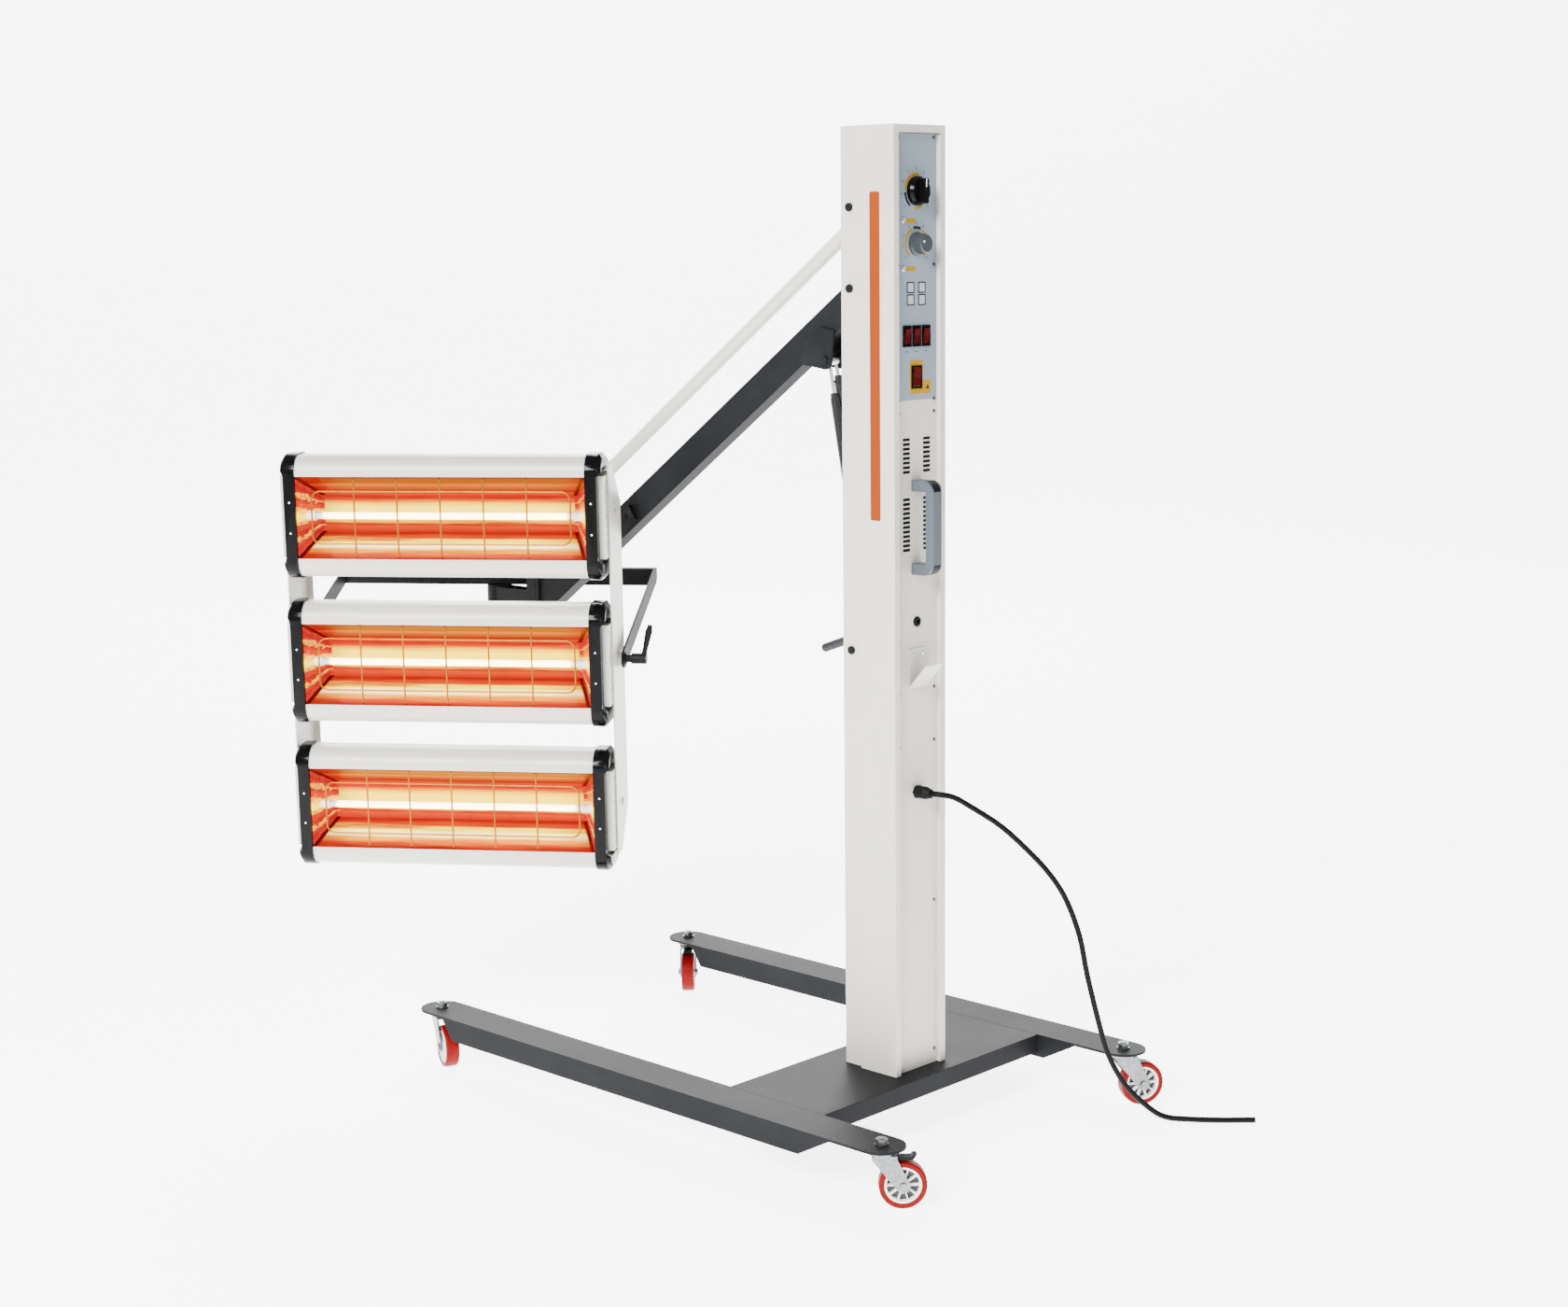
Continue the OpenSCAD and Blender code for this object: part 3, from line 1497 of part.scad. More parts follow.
module guard(level) {
    step = 2 * guard_x / (guard_rungs + 1);
    color("#d8c9b0")
        at_cassette(level)
            translate([0, guard_y, 0]) {
                guard_ring();
                for (rung = [1 : guard_rungs])
                    translate([rung * step - guard_x, 0, -rung_half])
                        cylinder(r = wire_r, h = 2 * rung_half);
            }
}

left_leg();
right_leg();
cross_plate();
mast_channel();
rear_cover();
control_panel();
lower_panel();
panel_screws();
panel_fittings();
panel_switchgear();
pull_handle();
hook_bracket();
cable_grommet();
cord_gland();
power_cord();
pivot_bolts();
caster_bolts();
rest_peg();
rotary_knob();
timer_knob();
rocker(-rocker_pitch, rocker_z, rocker_w, rocker_h);  // lamp_rocker_1
rocker(0, rocker_z, rocker_w, rocker_h);  // lamp_rocker_2
rocker(rocker_pitch, rocker_z, rocker_w, rocker_h);  // lamp_rocker_3
rocker(0, main_rocker_z, main_rocker_w, main_rocker_h);  // main_rocker
main_beam();
upper_link();
strut_cylinders();
strut_rods();
arm_knuckle();
yoke_frame();
head_straps();
clamp_lever();
housing(1);  // top_housing
housing(0);  // middle_housing
housing(-1);  // bottom_housing
end_caps(1);  // top_end_caps
end_caps(0);  // middle_end_caps
end_caps(-1);  // bottom_end_caps
end_plates(1);  // top_end_plates
end_plates(-1);  // bottom_end_plates
reflector(1);  // top_reflector
reflector(0);  // middle_reflector
reflector(-1);  // bottom_reflector
quartz_tube(1);  // top_quartz_tube
quartz_tube(0);  // middle_quartz_tube
quartz_tube(-1);  // bottom_quartz_tube
guard(1);  // top_guard
guard(0);  // middle_guard
guard(-1);  // bottom_guard
fork(0);  // left_front_fork
fork(1);  // left_rear_fork
fork(2);  // right_front_fork
fork(3);  // right_rear_fork
wheel(0);  // left_front_wheel
wheel(1);  // left_rear_wheel
wheel(2);  // right_front_wheel
wheel(3);  // right_rear_wheel
brake(1);  // left_rear_brake
brake(2);  // right_front_brake
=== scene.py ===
"""Infrared curing lamp on a wheeled stand: looks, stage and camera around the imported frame."""

import json
import math

import bmesh
import bpy
from mathutils import Euler, Matrix, Vector

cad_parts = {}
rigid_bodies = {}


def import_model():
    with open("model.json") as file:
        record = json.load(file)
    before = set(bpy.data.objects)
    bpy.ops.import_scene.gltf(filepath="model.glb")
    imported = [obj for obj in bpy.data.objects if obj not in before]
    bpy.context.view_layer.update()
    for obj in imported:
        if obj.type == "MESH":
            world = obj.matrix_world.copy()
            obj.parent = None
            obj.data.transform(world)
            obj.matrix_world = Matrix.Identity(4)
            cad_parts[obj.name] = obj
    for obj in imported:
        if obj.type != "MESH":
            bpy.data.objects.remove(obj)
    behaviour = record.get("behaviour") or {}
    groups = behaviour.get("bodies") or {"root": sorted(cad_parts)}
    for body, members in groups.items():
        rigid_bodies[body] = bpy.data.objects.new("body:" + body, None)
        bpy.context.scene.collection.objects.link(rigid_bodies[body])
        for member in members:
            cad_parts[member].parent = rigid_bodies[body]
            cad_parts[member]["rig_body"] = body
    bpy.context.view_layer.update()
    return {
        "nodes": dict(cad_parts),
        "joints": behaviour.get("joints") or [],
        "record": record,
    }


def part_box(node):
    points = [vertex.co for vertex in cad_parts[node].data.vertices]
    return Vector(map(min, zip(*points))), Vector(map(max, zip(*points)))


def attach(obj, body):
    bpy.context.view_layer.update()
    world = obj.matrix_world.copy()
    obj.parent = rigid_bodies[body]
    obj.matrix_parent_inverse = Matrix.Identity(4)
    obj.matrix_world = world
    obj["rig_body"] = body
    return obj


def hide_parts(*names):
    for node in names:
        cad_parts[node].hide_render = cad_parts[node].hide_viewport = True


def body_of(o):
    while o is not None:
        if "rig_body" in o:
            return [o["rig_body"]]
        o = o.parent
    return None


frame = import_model()
NODES = frame["nodes"]
JOINTS = {joint["name"]: joint for joint in frame["joints"]}
CORNERS = ("left_front", "left_rear", "right_front", "right_rear")
LEVELS = {"top": 1, "middle": 0, "bottom": -1}
CASSETTE_BODIES = {"top": "top_cassette", "middle": "head", "bottom": "bottom_cassette"}

bl_info = {
    "name": "Infrared curing lamp",
    "version": (1, 0, 0),
    "blender": (4, 5, 0),
    "location": "3D View > Sidebar > Curing lamp",
    "description": "Finishes, small fittings, stage and camera for a wheeled infrared curing lamp",
    "category": "Object",
}

# Places worked out from the frame, in metres as everything here
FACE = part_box("control_panel")[0].y
MAST_X = (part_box("mast_channel")[0].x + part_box("mast_channel")[1].x) / 2
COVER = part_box("rear_cover")

# Places of the small fittings on the mast, as the part's source gives them
VENT_TOPS = (1.14736, 1.0516)
VENT_SLOTS = (8, 12)
VENT_X, VENT_PITCH = 0.02475, 0.0074
PILOT_X = -0.031
PILOT_HEIGHTS = (1.4915, 1.41665)

SHEET = 0.00025  # thickness of a printed mark
SMOOTH_ANGLE = math.radians(32)
WELD, FLAT_ANGLE = 1e-6, math.radians(0.6)  # what a softened copy joins and what it takes for flat
UPRIGHT = Euler((math.radians(90), 0, 0)).to_matrix().to_4x4()


def head_matrix():
    """The head's own frame: origin on the tilt axis, X along it, -Y the way the lamps face."""
    tilt = JOINTS["head_tilt"]
    axis = Vector(tilt["axis"])
    turn = math.atan2(axis.y, axis.x)
    lean = bpy.context.scene.lamp_sizes.head_lean
    return Matrix.Translation(Vector(tilt["pos_m"])) @ Euler((lean, 0, turn)).to_matrix().to_4x4()


def cassette_matrix(level):
    """A cassette's own frame: origin in the middle of its front."""
    sizes = bpy.context.scene.lamp_sizes
    return head_matrix() @ Matrix.Translation((0, -sizes.front_reach, level * sizes.cassette_pitch))


def wheel_matrix(corner):
    """A wheel's own frame: origin at its middle, Z along the axle."""
    joint = JOINTS[corner + "_spin"]
    axis = Vector(joint["axis"])
    return Matrix.Translation(Vector(joint["pos_m"])) @ axis.to_track_quat("Z", "Y").to_matrix().to_4x4()


class LampSizes(bpy.types.PropertyGroup):
    """Sizes of the pieces that this script adds."""

    head_lean: bpy.props.FloatProperty(
        name="Head lean", description="Lean of the head about its tilt axis",
        default=math.radians(1.7), unit="ROTATION")
    front_reach: bpy.props.FloatProperty(
        name="Front reach", description="From the tilt axis to the cassettes' front",
        default=0.088, unit="LENGTH")
    cassette_pitch: bpy.props.FloatProperty(
        name="Cassette pitch", description="Distance between the cassettes' middles",
        default=0.26, unit="LENGTH")
    cassette_half: bpy.props.FloatProperty(
        name="Cassette half length", description="Half the length of a housing",
        default=0.2565, unit="LENGTH")
    cord_diameter: bpy.props.FloatProperty(
        name="Cord diameter", description="Diameter of the power cord",
        default=0.0095, unit="LENGTH")
    tyre_radius: bpy.props.FloatProperty(
        name="Tyre radius", description="Outer radius of a caster's tyre",
        default=0.0375, unit="LENGTH")
    tyre_width: bpy.props.FloatProperty(
        name="Tyre width", description="Width of a caster's tyre",
        default=0.024, unit="LENGTH")
    hub_radius: bpy.props.FloatProperty(
        name="Hub radius", description="Outer radius of a caster's hub",
        default=0.029, unit="LENGTH")
    edge_round: bpy.props.FloatProperty(
        name="Edge round", description="Rounding on folded sheet and castings",
        default=0.0008, unit="LENGTH")


class LampColours(bpy.types.PropertyGroup):
    """Colours that a user would change."""

    cream: bpy.props.FloatVectorProperty(
        name="Cream paint", description="Mast, housings and straps",
        subtype="COLOR", size=3, default=(0.475, 0.458, 0.412))
    graphite: bpy.props.FloatVectorProperty(
        name="Graphite paint", description="Legs, arm and yoke",
        subtype="COLOR", size=3, default=(0.008, 0.0086, 0.0096))
    panel: bpy.props.FloatVectorProperty(
        name="Panel grey", description="Control panel",
        subtype="COLOR", size=3, default=(0.165, 0.205, 0.24))
    orange: bpy.props.FloatVectorProperty(
        name="Accent orange", description="Plain stripe on the mast",
        subtype="COLOR", size=3, default=(0.2, 0.029, 0.0))
    tyre: bpy.props.FloatVectorProperty(
        name="Tyre red", description="Caster tyres",
        subtype="COLOR", size=3, default=(0.13, 0.0002, 0.0002))
    amber: bpy.props.FloatVectorProperty(
        name="Dial amber", description="Marks on the control panel",
        subtype="COLOR", size=3, default=(0.32, 0.165, 0.0))


def colour(name):
    return tuple(getattr(bpy.context.scene.lamp_colours, name)) + (1.0,)


class Term:
    """A shader socket that takes part in Python expressions."""

    def __init__(self, finish, socket):
        self.finish = finish
        self.socket = socket

    def _math(self, operation, *terms):
        return self.finish.node("Math", {"operation": operation}, dict(enumerate(terms)))

    def __add__(self, other):
        return self._math("ADD", self, other)

    __radd__ = __add__

    def __mul__(self, other):
        return self._math("MULTIPLY", self, other)

    __rmul__ = __mul__

    def __sub__(self, other):
        return self._math("SUBTRACT", self, other)

    def __rsub__(self, other):
        return self._math("SUBTRACT", other, self)

    def __truediv__(self, other):
        return self._math("DIVIDE", self, other)

    def __rtruediv__(self, other):
        return self._math("DIVIDE", other, self)

    def size(self):
        """The value without its sign."""
        return self._math("ABSOLUTE", self)

    def step(self, low, high):
        """0 below low and 1 above high, with a soft rise between them."""
        return self.finish.node("MapRange", {"interpolation_type": "SMOOTHSTEP"}, {0: self, 1: low, 2: high})


class Finish:
    """A material with one Principled shader, written as expressions."""

    def __init__(self, name):
        self.material = bpy.data.materials.new(name)
        self.material.use_nodes = True
        self.tree = self.material.node_tree
        self.tree.nodes.clear()
        self.output = self.tree.nodes.new("ShaderNodeOutputMaterial")
        self.shader = self.tree.nodes.new("ShaderNodeBsdfPrincipled")
        self.tree.links.new(self.shader.outputs[0], self.output.inputs[0])

    def feed(self, socket, value):
        """Links a term to a socket, or sets a constant on it."""
        if isinstance(value, Term):
            self.tree.links.new(value.socket, socket)
        else:
            socket.default_value = value

    def node(self, kind, settings, inputs, out=0):
        """Any shader node, with its settings and inputs, as a term."""
        made = self.tree.nodes.new("ShaderNode" + kind)
        for name, value in settings.items():
            if name == "stops":
                ramp = made.color_ramp
                while len(ramp.elements) < len(value):
                    ramp.elements.new(0.5)
                for element, (place, tint) in zip(ramp.elements, value):
                    element.position = place
                    element.color = tint
            else:
                setattr(made, name, value)
        for key, value in inputs.items():
            self.feed(made.inputs[key], value)
        return Term(self, made.outputs[out])

    def place(self):
        return self.node("TexCoord", {}, {}, "Object")

    def axes(self, vector):
        split = self.node("SeparateXYZ", {}, {0: vector})
        outs = split.socket.node.outputs
        return [Term(self, outs[i]) for i in range(3)]

    def turned(self, matrix):
        """Object coordinates carried into another frame, by its inverse."""
        inverse = matrix.inverted()
        return self.node(
            "Mapping", {"vector_type": "POINT"},
            {0: self.place(), 1: inverse.to_translation(), 2: inverse.to_euler()})

    def noise(self, scale, detail=3.0, rough=0.55, vector=None):
        return self.node("TexNoise", {}, {
            "Vector": vector or self.place(), "Scale": scale, "Detail": detail, "Roughness": rough})

    def mix(self, factor, first, second):
        made = self.tree.nodes.new("ShaderNodeMix")
        made.data_type = "RGBA"
        self.feed(made.inputs[0], factor)
        self.feed(made.inputs[6], first)
        self.feed(made.inputs[7], second)
        return Term(self, made.outputs[2])

    def ramp(self, value, stops):
        return self.node("ValToRGB", {"stops": stops}, {0: value})

    def bump(self, height, strength, distance):
        return self.node("Bump", {}, {"Height": height, "Strength": strength, "Distance": distance})

    def done(self, **sockets):
        """Feeds the Principled shader, each socket by its name in small letters."""
        for name, value in sockets.items():
            self.feed(self.shader.inputs[name.replace("_", " ").title().replace("Ior", "IOR")], value)
        return self.material


def shade(tint, share):
    """The same colour, lighter or darker by a share."""
    return tuple(min(1.0, channel * share) for channel in tint[:3]) + (1.0,)


def paint(name, tint, rough, coat, speckle=0.06, grain=900.0, shine=0.4):
    """Powder coat: fine orange peel, a faint cloud in the colour and dust that dulls it."""
    finish = Finish(name)
    cloud = finish.noise(7.0, 4.0)
    peel = finish.noise(grain, 2.0)
    dark, light = shade(tint, 1 - speckle * 2), shade(tint, 1 + speckle)
    return finish.done(
        base_color=finish.mix(cloud.step(0.3, 0.7), dark, light),
        roughness=rough + 0.1 * (cloud - 0.5) + 0.08 * (peel - 0.5),
        coat_weight=coat, coat_roughness=0.25, specular_ior_level=shine,
        normal=finish.bump(peel, 0.12, 0.0004))


def cream_paint():
    return paint("cream_paint", colour("cream"), 0.36, 0.1, 0.015)


def graphite_paint():
    return paint("graphite_paint", colour("graphite"), 0.5, 0.0, 0.12, 900.0, 0.04)


def panel_paint():
    return paint("panel_paint", colour("panel"), 0.48, 0.0, 0.03, 1500.0, 0.25)


def gloss_black():
    finish = Finish("gloss_black")
    swirl = finish.noise(38.0, 3.0)
    fine = finish.noise(420.0, 2.0)
    return finish.done(
        base_color=finish.mix(swirl, (0.001, 0.001, 0.0012, 1), (0.0025, 0.0027, 0.003, 1)),
        roughness=0.1 + 0.08 * swirl, specular_ior_level=0.08,
        normal=finish.bump(fine, 0.05, 0.0003))


def matt_black():
    finish = Finish("matt_black")
    grain = finish.noise(1400.0, 2.0)
    wear = finish.noise(60.0, 4.0)
    return finish.done(
        base_color=finish.mix(wear, (0.0012, 0.0012, 0.0014, 1), (0.0035, 0.0035, 0.004, 1)),
        specular_ior_level=0.1, roughness=0.5 + 0.16 * (wear - 0.5), normal=finish.bump(grain, 0.25, 0.0003))


def grained_plastic(name, tint, rough=0.42):
    finish = Finish(name)
    grain = finish.noise(1100.0, 2.0)
    cloud = finish.noise(30.0, 3.0)
    return finish.done(
        base_color=finish.mix(cloud, shade(tint, 0.85), tint), roughness=rough + 0.12 * (cloud - 0.5),
        specular_ior_level=0.3, normal=finish.bump(grain, 0.2, 0.0003))


def zinc_plate():
    finish = Finish("zinc_plate")
    spangle = finish.node("TexVoronoi", {}, {"Vector": finish.place(), "Scale": 260.0}, "Color")
    cloud = finish.noise(55.0, 4.0)
    tone = finish.node("SeparateColor", {}, {0: spangle})
    return finish.done(
        base_color=finish.mix(tone * 0.5 + cloud * 0.5, (0.09, 0.1, 0.105, 1), (0.24, 0.25, 0.255, 1)),
        metallic=1.0, roughness=0.24 + 0.22 * cloud, normal=finish.bump(cloud, 0.1, 0.0004))


def bright_steel(name="bright_steel", tint=(0.78, 0.79, 0.8, 1)):
    finish = Finish(name)
    streak = finish.noise(300.0, 2.0)
    return finish.done(
        base_color=finish.mix(streak, shade(tint, 0.8), tint), metallic=1.0, roughness=0.14 + 0.12 * streak)


def red_rubber():
    finish = Finish("red_polyurethane")
    scuff = finish.noise(90.0, 5.0, 0.65)
    fine = finish.noise(700.0, 2.0)
    tint, dust = colour("tyre"), 0.0015
    dull = (tint[0] * 0.7, tint[1] + dust, tint[2] + dust, 1)
    return finish.done(
        base_color=finish.mix(scuff.step(0.42, 0.75), tint, dull), roughness=0.35 + 0.25 * scuff,
        specular_ior_level=0.08, normal=finish.bump(fine, 0.1, 0.0003))


def white_nylon():
    finish = Finish("white_nylon")
    cloud = finish.noise(70.0, 4.0)
    return finish.done(
        base_color=finish.mix(cloud, (0.7, 0.69, 0.66, 1), (0.86, 0.85, 0.83, 1)),
        roughness=0.38 + 0.15 * cloud, specular_ior_level=0.3)


def cord_rubber():
    finish = Finish("cord_rubber")
    scuff = finish.noise(140.0, 4.0)
    fine = finish.noise(1600.0, 2.0)
    return finish.done(
        base_color=finish.mix(scuff, (0.0008, 0.0008, 0.0009, 1), (0.002, 0.002, 0.0022, 1)),
        specular_ior_level=0.08, roughness=0.4 + 0.2 * scuff, normal=finish.bump(fine, 0.15, 0.0003))


def lit_red():
    """Red switch plastic that lets a little light through."""
    finish = Finish("switch_red")
    cloud = finish.noise(160.0, 3.0)
    return finish.done(
        base_color=finish.mix(cloud, (0.03, 0.0, 0.0, 1), (0.05, 0.0003, 0.0003, 1)),
        roughness=0.3 + 0.1 * cloud, specular_ior_level=0.03,
        emission_color=(0.8, 0.0, 0.0, 1), emission_strength=0.015)


def plain_mark(name, tint):
    finish = Finish(name)
    print_grain = finish.noise(900.0, 2.0)
    return finish.done(
        base_color=finish.mix(print_grain, shade(tint, 0.88), tint), roughness=0.5 + 0.1 * print_grain,
        specular_ior_level=0.08)


# Colours of the tubes' light and of its painted reflection on the reflectors and guard wires, from the
# deepest red at the ends to the white by the tube
SEAM = (0.02, 0.0004, 0.0002, 1)
EMBER = (0.065, 0.0002, 0.0001, 1)
RED_HEAT = (0.13, 0.0012, 0.0005, 1)
ROSE_HEAT = (0.2, 0.008, 0.006, 1)
ORANGE_HEAT = (0.27, 0.02, 0.0, 1)
YELLOW_HEAT = (0.56, 0.23, 0.0, 1)
WHITE_HEAT = (0.88, 0.66, 0.0, 1)
TUBE_HEAT = (1.0, 0.82, 0.34, 1)
# Strength of the tube's reflection painted on the reflectors as emission
PAINTED_REFLECTION_GLOW = 4.8
TUBE_GLOW = 9.0

# The trough of a reflector in its cassette's frame: its back's height, and its mouth's half height and
# half width, which shrink with depth by the two slopes
MIRROR_BACK = 0.144
MOUTH_DEPTH = 0.002
MOUTH_HALF, MOUTH_SLOPE = 0.0708, 0.602
MOUTH_WIDE, SIDE_SLOPE = 0.2553, 0.43
FILAMENT_END, CERAMIC_START = 0.212, 0.222


def mirror_painted_reflection(level):
    """Polished reflector with the tube's reflection painted on as emission, in long bands, redder towards the
    ends and dim along the corners where its walls meet.
    """
    finish = Finish("reflector_%s" % level)
    x, y, z = finish.axes(finish.turned(cassette_matrix(LEVELS[level])))
    streaks = finish.noise(1.0, 4.0, 0.6, finish.node(
        "Mapping", {}, {0: finish.turned(cassette_matrix(LEVELS[level])), 3: (6.0, 60.0, 190.0)}))
    height = z / MIRROR_BACK + 0.5 + 0.1 * (streaks - 0.5)
    bands = finish.ramp(height, [
        (0.0, EMBER), (0.05, ORANGE_HEAT), (0.09, YELLOW_HEAT), (0.13, TUBE_HEAT), (0.17, WHITE_HEAT),
        (0.21, ORANGE_HEAT), (0.26, RED_HEAT), (0.34, ORANGE_HEAT), (0.37, RED_HEAT), (0.4, YELLOW_HEAT),
        (0.46, WHITE_HEAT), (0.58, WHITE_HEAT), (0.63, YELLOW_HEAT), (0.67, ORANGE_HEAT), (0.7, RED_HEAT),
        (0.75, ORANGE_HEAT), (0.78, EMBER), (0.85, RED_HEAT), (0.88, ORANGE_HEAT), (0.91, EMBER),
        (1.0, EMBER)])
    depth = y - MOUTH_DEPTH
    tall = z.size() / (MOUTH_HALF - MOUTH_SLOPE * depth)
    wide = x.size() / (MOUTH_WIDE - SIDE_SLOPE * depth)
    # Painted reflection: redder at the ends, other bands on the walls near the mouth, dim along the corner
    # seams
    cool = finish.mix(x.size().step(0.18, 0.245) * 0.55, bands, RED_HEAT)
    wall = finish.ramp(tall + 0.5 * (streaks - 0.5), [
        (0.0, WHITE_HEAT), (0.16, YELLOW_HEAT), (0.26, ORANGE_HEAT), (0.36, ROSE_HEAT), (0.5, RED_HEAT),
        (0.56, YELLOW_HEAT), (0.62, ROSE_HEAT), (0.8, RED_HEAT), (0.88, ROSE_HEAT), (1.0, EMBER)])
    glow = finish.mix(wide.step(0.975, 0.99), cool, wall)
    glow = finish.mix(wide.step(0.965, 0.985) * tall.step(0.93, 0.97), glow, SEAM)
    return finish.done(
        base_color=(0.08, 0.003, 0.001, 1), metallic=1.0, roughness=0.16 + 0.16 * streaks,
        emission_color=glow, emission_strength=PAINTED_REFLECTION_GLOW)


def tube_glow(level):
    """Clear quartz round a filament: white hot between the ceramic ends."""
    finish = Finish("quartz_%s" % level)
    x, y, z = finish.axes(finish.turned(cassette_matrix(LEVELS[level])))
    lit = 1 - x.size().step(FILAMENT_END, CERAMIC_START)
    ripple = finish.noise(55.0, 2.0)
    return finish.done(
        base_color=finish.mix(lit, (0.72, 0.68, 0.6, 1), (1.0, 0.85, 0.6, 1)),
        roughness=0.25 + 0.2 * ripple,
        emission_color=finish.mix(lit, (0, 0, 0, 1), TUBE_HEAT), emission_strength=TUBE_GLOW)


# Guard wire: its orange tint and faint orange-yellow emission are a painted glint of the tube's light
def hot_wire():
    finish = Finish("hot_wire")
    sheen = finish.noise(40.0, 3.0)
    return finish.done(
        base_color=finish.mix(sheen, (0.12, 0.035, 0.004, 1), (0.3, 0.11, 0.015, 1)), metallic=1.0,
        roughness=0.3 + 0.1 * sheen, emission_color=finish.mix(sheen, ORANGE_HEAT, YELLOW_HEAT),
        emission_strength=0.8)


FINISHES = {}


def finish_of(name):
    """Each finish is made once and shared."""
    makers = {
        "cream": cream_paint, "graphite": graphite_paint, "panel": panel_paint, "gloss_black": gloss_black,
        "matt_black": matt_black, "zinc": zinc_plate, "steel": bright_steel, "tyre": red_rubber,
        "nylon": white_nylon, "cord": cord_rubber, "red": lit_red, "wire": hot_wire,
        "dark_screw": lambda: bright_steel("dark_screw", (0.1, 0.1, 0.1, 1)),
        "handle": lambda: grained_plastic("handle_grey", (0.06, 0.076, 0.09, 1)),
        "knob_grey": lambda: grained_plastic("knob_grey", (0.028, 0.035, 0.04, 1), 0.3),
        "peg": lambda: grained_plastic("peg_rubber", (0.009, 0.0105, 0.0125, 1), 0.6),
        # dark grey: painted shade between a hub's ribs
        "hub_web": lambda: grained_plastic("hub_web", (0.045, 0.048, 0.052, 1), 0.5),
        "beige": lambda: grained_plastic("switch_body", (0.5, 0.47, 0.4, 1)),
        "strut": lambda: paint("strut_black", (0.006, 0.007, 0.008, 1), 0.22, 0.0, 0.1),
        "amber": lambda: plain_mark("mark_amber", colour("amber")),
        "yellow": lambda: plain_mark("mark_yellow", (0.33, 0.18, 0.0, 1)),
        "orange": lambda: plain_mark("mark_orange", colour("orange")),
        "ink": lambda: plain_mark("mark_ink", (0.008, 0.009, 0.01, 1)),
        "white": lambda: plain_mark("mark_white", (0.85, 0.85, 0.84, 1)),
        # black plates over the vent slots: painted shade
        "vent_shade": lambda: plain_mark("vent_black", (0.0006, 0.0006, 0.0006, 1)),
        "lens": lambda: plain_mark("lens_grey", (0.3, 0.34, 0.36, 1)),
        "seam": lambda: plain_mark("seam_shade", (0.14, 0.135, 0.125, 1)),
    }
    if name not in FINISHES:
        FINISHES[name] = makers[name]()
    return FINISHES[name]


def dress(obj, material):
    obj.data.materials.clear()
    obj.data.materials.append(material)
    return obj


def mesh_object(name, shape, material):
    """A dressed mesh object from a bmesh, which it uses up."""
    data = bpy.data.meshes.new(name)
    shape.normal_update()
    shape.to_mesh(data)
    shape.free()
    obj = bpy.data.objects.new(name, data)
    bpy.context.scene.collection.objects.link(obj)
    return dress(obj, material)


def rounded_look(data):
    """Shades a mesh smooth and keeps its real edges sharp."""
    data.shade_smooth()
    data.set_sharp_from_angle(angle=SMOOTH_ANGLE)


def new_piece(name, shape, material, body, smooth=True):
    """A piece of the lamp from a bmesh, riding on its body."""
    obj = mesh_object(name, shape, material)
    if smooth:
        rounded_look(obj.data)
    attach(obj, body)
    return obj


def lathe(shape, outline, steps, matrix, closed=True):
    """Turns an outline of (radius, height) about Z and sets it in place."""
    rings = []
    for i in range(steps):
        a = 2 * math.pi * i / steps
        rings.append([shape.verts.new(matrix @ Vector((r * math.cos(a), r * math.sin(a), h)))
                      for r, h in outline])
    count = len(outline)
    for i in range(steps):
        one, two = rings[i], rings[(i + 1) % steps]
        for k in range(count if closed else count - 1):
            nxt = (k + 1) % count
            shape.faces.new((one[k], two[k], two[nxt], one[nxt]))
    return shape


def prism(shape, outline, thickness, matrix):
    """A flat outline (x, y) given thickness along Z, both ends closed."""
    low = [shape.verts.new(matrix @ Vector((x, y, 0))) for x, y in outline]
    high = [shape.verts.new(matrix @ Vector((x, y, thickness))) for x, y in outline]
    shape.faces.new(list(reversed(low)))
    shape.faces.new(high)
    for i in range(len(outline)):
        k = (i + 1) % len(outline)
        shape.faces.new((low[i], low[k], high[k], high[i]))
    return shape


def rounded(width, height, radius, steps=5):
    """Outline of a rectangle with round corners."""
    points = []
    for sx, sy, start in ((1, 1, 0), (-1, 1, 90), (-1, -1, 180), (1, -1, 270)):
        for i in range(steps + 1):
            a = math.radians(start + 90 * i / steps)
            points.append((sx * (width / 2 - radius) + radius * math.cos(a),
                           sy * (height / 2 - radius) + radius * math.sin(a)))
    return points


def arc_band(inner, outer, start, end, steps=24):
    """Outline of a flat arc between two radii, angles in degrees."""
    def swept(radius, first, last):
        turns = [math.radians(first + (last - first) * i / steps) for i in range(steps + 1)]
        return [(radius * math.cos(a), radius * math.sin(a)) for a in turns]
    return swept(outer, start, end) + swept(inner, end, start)


def on_panel(x, z, lift=0.0):
    """Frame on the panel's face: X across, Y up, Z out towards the operator."""
    return Matrix.Translation((MAST_X + x, FACE - lift, z)) @ UPRIGHT


def plate(shape, half, low, high, thickness, matrix):
    """A flat plate from -half to half across, and from low to high."""
    return prism(shape, [(-half, low), (half, low), (half, high), (-half, high)], thickness, matrix)


def outward(shape):
    """Turns all faces outwards, for a prism made with a negative thickness."""
    bmesh.ops.recalc_face_normals(shape, faces=shape.faces)
    return shape


def softened(node, width, material, segments=2):
    """A copy of a CAD node with its folded and moulded edges rounded, which stands for it."""
    source = NODES[node]
    shape = bmesh.new()
    shape.from_mesh(source.data)
    bmesh.ops.remove_doubles(shape, verts=shape.verts, dist=WELD)
    bmesh.ops.dissolve_limit(shape, angle_limit=FLAT_ANGLE, verts=shape.verts, edges=shape.edges)
    body = body_of(source)[0]
    obj = new_piece(node + "_dressed", shape, material, body)
    bevel = obj.modifiers.new("edges", "BEVEL")
    bevel.width = width
    bevel.segments = segments
    bevel.limit_method = "ANGLE"
    bevel.angle_limit = SMOOTH_ANGLE
    bevel.use_clamp_overlap = True
    bevel.harden_normals = True
    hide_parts(node)
    return obj


